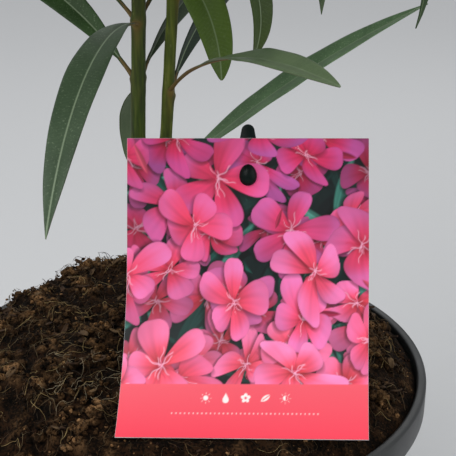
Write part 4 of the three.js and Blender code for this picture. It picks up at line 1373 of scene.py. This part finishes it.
def cardStock():
    # Solid-core polypropylene sheet: white, satin, seen on the cut edges and the back.
    material, tree, place = startMaterial("whitePolypropylene", {"Roughness": 0.42, "IOR": 1.49})
    smudge = addNode(tree, "TexNoise", {"Vector": place, "Scale": 1 / (22 * mm), "Detail": 4})["Fac"]
    colour = addNode(tree, "ValToRGB", [smudge], stops=[(0.4, "#dcdedd"), (0.7, "#eceeed")])["Color"]
    linkSurface(tree, colour)
    return material


def glossPrint():
    # Four-colour print under a clear varnish, which gives an even gloss. The colour lies in an attribute.
    shader = {"Roughness": 0.34, "Specular IOR Level": 0.3, "Coat Weight": 0.06}
    material, tree, place = startMaterial("varnishedPrint", shader)
    colour = addNode(tree, "Attribute", attribute_name="print")["Color"]
    sheen = addNode(tree, "TexNoise", {"Vector": place, "Scale": 1 / (30 * mm), "Detail": 3})["Fac"]
    rough = addNode(tree, "MapRange", [sheen, 0.3, 0.7, 0.27, 0.42])["Result"]
    linkSurface(tree, colour, sheen, 0.4, 0.1, rough)
    return material


printThickness = 0.05
# The picture is painted on the points of the card's grid: across from the middle, down from the top, in mm.
printLook = {
    "columns": 280, "rows": 346, "picture": 106.3, "halfAcross": 54, "inset": 0.08, "seed": 12,
    "leaves": 150, "buds": 9, "tries": 7, "ground": ("#070d0f", "#142b2a"), "haze": (34, 0.5, 0.05),
    "grain": 9, "edge": "#f0efee",
}
# How many blossoms, their smallest and largest size, and their brightness, from the back forwards
blossomRows = ((19, 16, 20, 0.6), (17, 17, 22, 0.92), (16, 19, 24, 1.08))
printLeaf = {
    "length": (12, 28), "width": (1.8, 3.8), "lean": 1.2, "bow": 0.5, "sharp": 1.3, "halves": 0.4,
    "rib": 0.5, "ribHalf": 0.14, "tones": ("#060d0f", "#0f2b28", "#1b4f45", "#5fa595"), "toneTop": 2.9,
    "tonePower": 1.6,
}
printPetal = {
    "shadow": (0.9, 1.5, 2.6, 0.62), "openPower": 0.8, "roundPower": 4.2, "widest": 1.05, "end": 0.985,
    "fold": 0.22, "foldHalf": 0.16, "veins": 0.045, "veinCount": 17, "halves": 0.2, "grain": 0.09,
    "tipLight": 0.1, "edge": 0.2, "edgeWide": 0.45, "heart": 0.3, "heartReach": 0.2, "sharp": 2.2,
}
printBlossom = {
    "heart": ("#ee2650", "#ff4a55"), "middle": ("#ea3c7e", "#ff6083"), "rim": ("#c85cab", "#fc82b6"),
    "petals": 5, "squeeze": (0.55, 0.95), "warmSpan": 0.22, "dim": (0.82, 0.24), "blush": (0.4, 0.55),
    "skew": 0.42, "skewRange": (0.5, 1.2), "angleSpan": 13, "length": (0.62, 1.08), "width": (0.36, 0.5),
    "toneSpan": 0.14, "reach": 1.3,
}
printThroat = {
    "colour": "#c01f49", "reach": 0.13, "share": 0.55, "lines": 15, "length": (0.12, 0.42),
    "half": (0.25, 0.5), "pale": "#ffb9d6", "red": "#e03a60", "lineShare": 0.6,
}
printBud = {"length": (5, 9), "width": 0.24, "colours": ("#a01f45", "#f0607c"), "sharp": 3}
printBand = {
    "colours": ("#f85c6c", "#fa4259"), "white": "#fff4f2", "sharp": 2.5, "shift": 0.6, "signs": 5,
    "apart": 8.4, "signsDown": 6.2, "ruleDown": 6.7, "dotRadius": 0.42, "dotStep": 1.8, "ruleHalf": 31,
    "ruleShare": 0.9,
}


def ink(hexColour):
    return np.array(linear(hexColour)[:3])


def inks(low, high, share):
    return ink(low) * (1 - share) + ink(high) * share


def blend(canvas, mask, colour):
    canvas *= 1 - mask[:, None]
    canvas += mask[:, None] * colour


def turnedTo(x, y, angle):
    return x * math.cos(angle) + y * math.sin(angle), y * math.cos(angle) - x * math.sin(angle)


def cloudy(across, down, size, draws):
    # A soft random field of about -1 to 1: a few crossed waves, none of a whole number of the others
    field = np.zeros_like(across)
    for i in range(7):
        angle, wave = draws.between(0, math.pi), size * draws.between(0.6, 1.7)
        along, off = turnedTo(across, down, angle)
        bent = along + 0.3 * size * np.sin(i - off / wave)
        field += np.sin(bent * math.pi / wave + draws.between(0, 6.3))
    return field / 3.2


def spotsNear(sheet, place, reach):
    # The points round a place, and how far across and down they lie from it
    x, y = sheet["across"] - place[0], sheet["down"] - place[1]
    spots = np.nonzero((np.abs(x) < reach) & (np.abs(y) < reach))[0]
    return spots, x[spots], y[spots]


def spreadOut(count, draws):
    # Places on the picture, each the best of several draws by its distance to the others
    places = []
    for i in range(count):
        tries = [np.array([draws.about(printLook["halfAcross"]), draws.between(-3, printLook["picture"] + 1)])
                 for _ in range(printLook["tries"])]
        tries.sort(key=lambda p: min((np.linalg.norm(p - q) for q in places), default=0))
        places.append(tries[-1])
    return places


def paintLeaf(sheet, draws):
    place = [draws.about(printLook["halfAcross"]), draws.between(0, printLook["picture"])]
    length, width = draws.between(*printLeaf["length"]), draws.between(*printLeaf["width"])
    angle = draws.about(printLeaf["lean"]) + math.pi / 2
    tone = draws.mostlyLow(0, printLeaf["toneTop"], printLeaf["tonePower"])
    spots, x, y = spotsNear(sheet, place, length)
    along, off = turnedTo(x, y, angle)
    along, off = along / length, off / width
    off = off + printLeaf["bow"] * along ** 2
    edge = np.clip((1 - along ** 2 - np.abs(off)) * width * printLeaf["sharp"], 0, 1) * (np.abs(along) < 1)
    step = int(tone)
    colour = inks(printLeaf["tones"][step], printLeaf["tones"][step + 1], tone % 1)
    shade = 1 + printLeaf["halves"] * np.sign(off) * np.minimum(1, np.abs(off) * 2)
    shade += printLeaf["rib"] * np.exp(-(off / printLeaf["ribHalf"]) ** 2)
    patch = sheet["canvas"][spots]
    blend(patch, edge, colour * shade[:, None])
    sheet["canvas"][spots] = patch


def petalMask(u, v, petal):
    angle, length, width, skew = petal
    along, off = turnedTo(u, v, angle)
    along = along / length
    off = off / width - skew * np.maximum(0, along) ** 2
    tipward = along + 0.1 * off
    reach = np.clip(tipward, 1e-4, 1)
    half = reach ** printPetal["openPower"] * np.sqrt(np.maximum(0, 1 - reach ** printPetal["roundPower"]))
    half = half * printPetal["widest"]
    inside = np.minimum((half - np.abs(off)) * width, (printPetal["end"] - tipward) * length)
    return np.where(along > 0, inside, -9.0), along, off


def paintPetal(patch, u, v, petal, tints, dim, grain):
    skew = petal[3]
    shadowRight, shadowDown, shadowSoft, shadowShare = printPetal["shadow"]
    shadow, _, _ = petalMask(u - shadowRight, v - shadowDown, petal)
    fall = np.clip(shadow / shadowSoft + 0.5, 0, 1) * np.clip(np.hypot(u, v) / 5, 0, 1)
    patch *= 1 - shadowShare * fall[:, None]
    inside, along, off = petalMask(u, v, petal)
    heart, middle, rim = tints
    t = np.clip(along * 1.15 + 0.22 * np.abs(off) + 0.16 * grain, 0, 1)[:, None]
    colour = np.where(t < 0.5, heart + (middle - heart) * t * 2, middle + (rim - middle) * (t * 2 - 1))
    fold = np.exp(-((off + 0.1) / printPetal["foldHalf"]) ** 2) * (1 - along) * printPetal["fold"]
    veins = np.sin(off / (0.25 + along) * printPetal["veinCount"]) * np.clip(1.15 - along, 0, 1)
    light = 1 + printPetal["halves"] * off * np.sign(skew) + printPetal["grain"] * grain - fold
    light += printPetal["veins"] * veins + printPetal["tipLight"] * np.clip(along - 0.55, 0, 1)
    light -= printPetal["edge"] * np.exp(-np.maximum(0, inside) / printPetal["edgeWide"])
    light -= printPetal["heart"] * np.exp(-(along / printPetal["heartReach"]) ** 2)
    blend(patch, np.clip(inside * printPetal["sharp"] + 0.5, 0, 1), colour * (light * dim)[:, None])


def paintBlossom(sheet, place, size, dim, draws):
    # A generic blossom of five broad petals: lilac to rosy at the rim, red towards the heart, with fine
    # pale and red lines out of its throat.
    look = printBlossom
    warm = place[1] / printLook["picture"] * 1.15 - 0.1 + draws.about(look["warmSpan"])
    warm = np.clip(warm, 0, 1)
    blush = draws.between(0, 1)
    heart, middle, rim = (inks(*look[part], warm) for part in ("heart", "middle", "rim"))
    toHeart, toMiddle = (share * blush for share in look["blush"])
    tints = (heart, middle * (1 - toHeart) + heart * toHeart, rim * (1 - toMiddle) + middle * toMiddle)
    dim *= look["dim"][0] + look["dim"][1] * warm
    apart = 360 / look["petals"]
    squeeze = draws.between(*look["squeeze"])
    facing, start = draws.between(0, math.pi), draws.between(0, apart)
    spots, x, y = spotsNear(sheet, place, size * look["reach"])
    u, v = turnedTo(x, y, facing)
    v = v / squeeze
    patch, grain = sheet["canvas"][spots], sheet["grain"][spots]
    skew = look["skew"] * (1 if draws.between(0, 1) > 0.5 else -1)
    for k in sorted(range(look["petals"]), key=lambda k: draws.between(0, 1)):
        angle = math.radians(start + apart * k + draws.about(look["angleSpan"]))
        length, width = size * draws.between(*look["length"]), size * draws.between(*look["width"])
        shift = draws.about(look["toneSpan"])
        petal = (angle, length, width, skew * draws.between(*look["skewRange"]))
        paintPetal(patch, u, v, petal, [tint * (1 + shift) for tint in tints], dim, grain)
    paintThroat(patch, u, v, size, dim, draws)
    sheet["canvas"][spots] = patch


def paintThroat(patch, u, v, size, dim, draws):
    look = printThroat
    heart = np.clip(1.1 - np.hypot(u, v) / size / look["reach"], 0, 1)
    blend(patch, heart * look["share"], ink(look["colour"]) * dim)
    for i in range(look["lines"]):
        angle, length = draws.angle(), size * draws.between(*look["length"])
        along, off = turnedTo(u, v, angle)
        off = off + 0.5 * np.sin(along * 0.9 + i)
        stroke = np.clip(1.15 - np.abs(off) / draws.between(*look["half"]), 0, 1)
        stroke = stroke * (along > 0) * np.clip((length - along) * 0.9, 0, 1)
        blend(patch, stroke * look["lineShare"], ink(look["pale" if i % 3 else "red"]) * dim)


def paintBud(sheet, place, draws):
    angle, length = draws.angle(), draws.between(*printBud["length"])
    spots, x, y = spotsNear(sheet, place, length + 1)
    along, off = turnedTo(x, y, angle)
    along, off = along / length, off / (length * printBud["width"])
    edge = np.clip((1 - along ** 2 - np.abs(off) * (1.2 - 0.5 * along)) * printBud["sharp"], 0, 1)
    shade = 0.75 + 0.3 * off + 0.35 * np.exp(-((off - 0.25) / 0.2) ** 2)
    patch = sheet["canvas"][spots]
    blend(patch, edge, inks(*printBud["colours"], draws.between(0, 1)) * shade[:, None])
    sheet["canvas"][spots] = patch


def paintPrint(flat):
    across, down = flat[:, 0], -flat[:, 1]
    draws = Draws(printLook["seed"])
    grain = cloudy(across, down, printLook["grain"], draws)
    hazeSize, groundHaze, lastHaze = printLook["haze"]
    haze = cloudy(across, down, hazeSize, draws)
    canvas = inks(*printLook["ground"], 0.5) * (1 + groundHaze * haze[:, None])
    sheet = {"canvas": canvas, "across": across, "down": down, "grain": grain}
    for i in range(printLook["leaves"]):
        paintLeaf(sheet, draws)
    for count, low, high, dim in blossomRows:
        for place in spreadOut(count, draws):
            size = draws.between(low, high)
            paintBlossom(sheet, place, size, dim * draws.between(0.9, 1.05), draws)
        for place in spreadOut(printLook["buds"] // len(blossomRows), draws):
            paintBud(sheet, place, draws)
    canvas *= (1 + lastHaze * haze)[:, None]
    paintBand(canvas, across, down)
    return np.clip(canvas, 0, 1)


def paintBand(canvas, across, down):
    # The plain coral band at the foot, with a row of small white care signs and a dotted rule.
    below = down - printLook["picture"]
    share = np.clip(below / (card["length"] - printLook["picture"]), 0, 1)[:, None]
    blend(canvas, np.clip(below * printBand["sharp"], 0, 1), inks(*printBand["colours"], share))
    white = ink(printBand["white"])
    u, v = across - printBand["shift"], below - printBand["signsDown"]
    for i in range(printBand["signs"]):
        blend(canvas, signMask(i, u - (i - printBand["signs"] // 2) * printBand["apart"], v), white)
    half = printBand["dotStep"] / 2
    away = np.hypot((u + half) % printBand["dotStep"] - half, v - printBand["ruleDown"])
    dots = np.clip((printBand["dotRadius"] - away) * 3, 0, 1) * (np.abs(u) < printBand["ruleHalf"])
    blend(canvas, dots * printBand["ruleShare"], white)


def signMask(kind, u, v):
    r, a = np.hypot(u, v), np.arctan2(v, u)
    soften = 2.4
    if kind in (0, 4):  # a sun, and a sun half in shade
        disc = 1.25 - r
        rays = np.minimum(0.42 - np.abs(np.sin(a * 4)) * r * 0.5, np.minimum(2.5 - r, r - 1.6))
        shape = np.maximum(disc, rays)
        if kind == 4:
            shape = np.where((r < 1.25) & (u > 0), np.minimum(shape, 0.25 - np.abs(r - 1.1)), shape)
    elif kind == 1:  # a drop
        shape = np.where(v < 0.4, np.minimum((v + 2.5) * 0.52 - np.abs(u), 3), 1.5 - np.hypot(u, v - 0.9))
    elif kind == 2:  # a five-petalled flower
        shape = 2.3 * (0.62 + 0.38 * np.abs(np.cos(2.5 * a + 0.8))) - r
        shape = np.minimum(shape, np.abs(r - 0.65) + r * 2 - 1.0)
    else:  # a leaf
        along, off = (u * 0.8 - v * 0.6) / 2.6, (u * 0.6 + v * 0.8)
        shape = np.minimum((1 - along ** 2) * 1.25 - np.abs(off), np.abs(off) * 1.2 - 0.05 + (along < -0.6))
    return np.clip(shape * soften, 0, 1)


def buildCard():
    lift = card["thickness"] / 2
    sheetLift = lift - printThickness
    body, _ = cardSheet(70, 88, sheetLift, 0)
    thicken(addShape("card_sheet", body, cardStock(), "card"), lift + sheetLift)
    face, flat = cardSheet(printLook["columns"], printLook["rows"], lift, printLook["inset"])
    colourOf = face.verts.layers.float_color.new("print")
    for v, colour in zip(face.verts, paintPrint(flat)):
        v[colourOf] = (*colour, 1)
    rim = [e for e in face.edges if e.is_boundary]
    turnedIn = bmesh.ops.extrude_edge_only(face, edges=rim)["geom"]
    for v in [g for g in turnedIn if isinstance(g, bmesh.types.BMVert)]:
        lean = math.radians(card["leanTop"] if v.co.z > 250 else card["leanFoot"])
        v.co += Vector((0, math.cos(lean), -math.sin(lean))) * 3 * printThickness
        v[colourOf] = linear(printLook["edge"])
    addShape("card_print", face, glossPrint(), "card")


buildCard()
print("card ready")


# Peg

peg = {
    "width": 7, "thickness": 2.4, "above": 6.2, "length": 158, "headRadius": 2.9, "headLength": 6,
    "point": 16, "neckRadius": 2.1, "knobWide": 7.6, "knobTall": 9.4, "knobDeep": 2.8, "knobBack": 0.25,
    "knobTaper": 0.1, "tipHalf": 1, "round": 0.35, "line": (0.35, 0.28), "seam": (0.3, 0.12), "headSteps": 12,
}


def pegPlastic():
    # Moulded polypropylene, bottle green to black: satin, with a fine parting line that catches the light.
    shader = {"Roughness": 0.36, "Specular IOR Level": 0.13}
    material, tree, place = startMaterial("darkGreenPolypropylene", shader)
    cloud = addNode(tree, "TexNoise", {"Vector": place, "Scale": 1 / (6 * mm), "Detail": 4})["Fac"]
    colour = addNode(tree, "ValToRGB", [cloud], stops=[(0.4, "#030c0a"), (0.7, "#081714")])["Color"]
    linkSurface(tree, colour, cloud, 0.15, 0.25)
    return material


def pegOutline(top):
    half, foot = peg["width"] / 2, top - peg["length"]
    neck, centre = top - peg["headLength"], top - peg["headRadius"]
    outline = [(-peg["tipHalf"], foot), (peg["tipHalf"], foot), (half, foot + peg["point"]), (half, neck)]
    for i in range(peg["headSteps"] + 1):
        angle = math.pi * i / peg["headSteps"]
        outline.append((peg["headRadius"] * math.cos(angle), centre + peg["headRadius"] * math.sin(angle)))
    return outline + [(-half, neck), (-half, foot + peg["point"])]


def addBead(bm, sides, rings, sizes, place):
    bead = bmesh.ops.create_uvsphere(bm, u_segments=sides, v_segments=rings, radius=1)["verts"]
    bmesh.ops.scale(bm, vec=sizes, verts=bead)
    bmesh.ops.translate(bm, verts=bead, vec=place)


def buildPeg():
    bm = bmesh.new()
    top = card["holeDown"] + peg["above"]
    behind = card["thickness"] / 2 + clearance
    strip = bm.faces.new([bm.verts.new((x, behind, z)) for x, z in pegOutline(top)])
    grown = bmesh.ops.extrude_face_region(bm, geom=[strip])["geom"]
    moved = [g for g in grown if isinstance(g, bmesh.types.BMVert)]
    bmesh.ops.translate(bm, verts=moved, vec=(0, peg["thickness"], 0))
    bmesh.ops.recalc_face_normals(bm, faces=bm.faces)
    flats = [e for e in bm.edges if abs(e.verts[0].co.y - e.verts[1].co.y) < 1e-6]
    bmesh.ops.bevel(
        bm, geom=flats, offset=peg["round"], offset_type="OFFSET", segments=3, profile=0.5, affect="EDGES",
        material=-1,
    )
    for y in (behind, behind + peg["thickness"]):  # the parting line down the middle of both faces
        sizes = (*peg["line"], peg["length"] / 2 - 6)
        addBead(bm, 10, 40, sizes, (0, y, top - peg["length"] / 2 + 4))
    bmesh.ops.create_cone(
        bm, cap_ends=True, segments=32, radius1=peg["neckRadius"], radius2=peg["neckRadius"],
        depth=2 * behind + peg["thickness"], matrix=Matrix.Rotation(math.pi / 2, 4, "X"),
    )
    for v in bmesh.ops.create_uvsphere(bm, u_segments=48, v_segments=32, radius=1)["verts"]:
        x, y, z = v.co
        x *= (1 - peg["knobTaper"] * z) * peg["knobWide"] / 2  # the knob is a little narrower at the top
        v.co = (x, y * (peg["knobDeep"] if y < 0 else peg["knobBack"]) - behind, z * peg["knobTall"] / 2)
    seamHalf, seamRise = peg["seam"]
    sizes = (seamHalf, peg["knobDeep"] + seamRise, peg["knobTall"] / 2 - seamHalf)
    addBead(bm, 10, 24, sizes, (0, -behind, 0))
    point, normal = cardPoint(0, card["holeDown"])
    lean = math.radians(card["leanTop"])
    frameOfPeg = Matrix.Translation(Vector(point)) @ Matrix((
        (1, 0, 0, 0), (0, -normal[1], math.sin(lean), 0), (0, -normal[2], math.cos(lean), 0), (0, 0, 0, 1),
    ))
    bmesh.ops.transform(bm, matrix=frameOfPeg, verts=bm.verts)
    piece = addShape("peg_moulding", bm, pegPlastic(), "peg")
    piece.data.set_sharp_from_angle(angle=math.radians(50))


buildPeg()
print("peg ready")


# Floor, light and background

studio = {"floor": "#c9cacb", "size": 60000, "sky": "#eceef1", "skyStrength": 0.5}
lamps = (  # each with its place, what it is aimed at, its size and its power
    ("keyLight", (-700, -900, 1300), (0, 0, 300), 900, 11),
    ("fillLight", (1100, -500, 700), (0, 0, 300), 1100, 4),
    ("backLight", (200, 1200, 1300), (0, 0, 300), 900, 2.5),
    ("ceilingLight", (0, 0, 5000), (0, 0, 0), 18000, 370),
)


def buildStudio():
    bm = bmesh.new()
    bmesh.ops.create_grid(bm, x_segments=4, y_segments=4, size=studio["size"] / 2 * mm)
    mesh = bpy.data.meshes.new("floor")
    bm.to_mesh(mesh)
    bm.free()
    material, tree, _ = startMaterial("paintedFloor", {"Roughness": 0.85, "Specular IOR Level": 0.2})
    tree.nodes["Principled BSDF"].inputs["Base Color"].default_value = linear(studio["floor"])
    mesh.materials.append(material)
    floor = bpy.data.objects.new("floor", mesh)
    bpy.context.scene.collection.objects.link(floor)
    world = bpy.data.worlds.new("studio")
    world.use_nodes = True
    sky = world.node_tree.nodes["Background"]
    sky.inputs["Color"].default_value = linear(studio["sky"])
    sky.inputs["Strength"].default_value = studio["skyStrength"]
    bpy.context.scene.world = world
    for name, place, aim, size, power in lamps:
        light = bpy.data.lights.new(name, "AREA")
        light.size = size * mm
        light.energy = power
        lamp = bpy.data.objects.new(name, light)
        lamp.location = Vector(place) * mm
        lamp.rotation_euler = (Vector(aim) - Vector(place)).to_track_quat("-Z", "Y").to_euler()
        bpy.context.scene.collection.objects.link(lamp)
    bpy.context.scene.view_settings.view_transform = "Standard"


buildStudio()
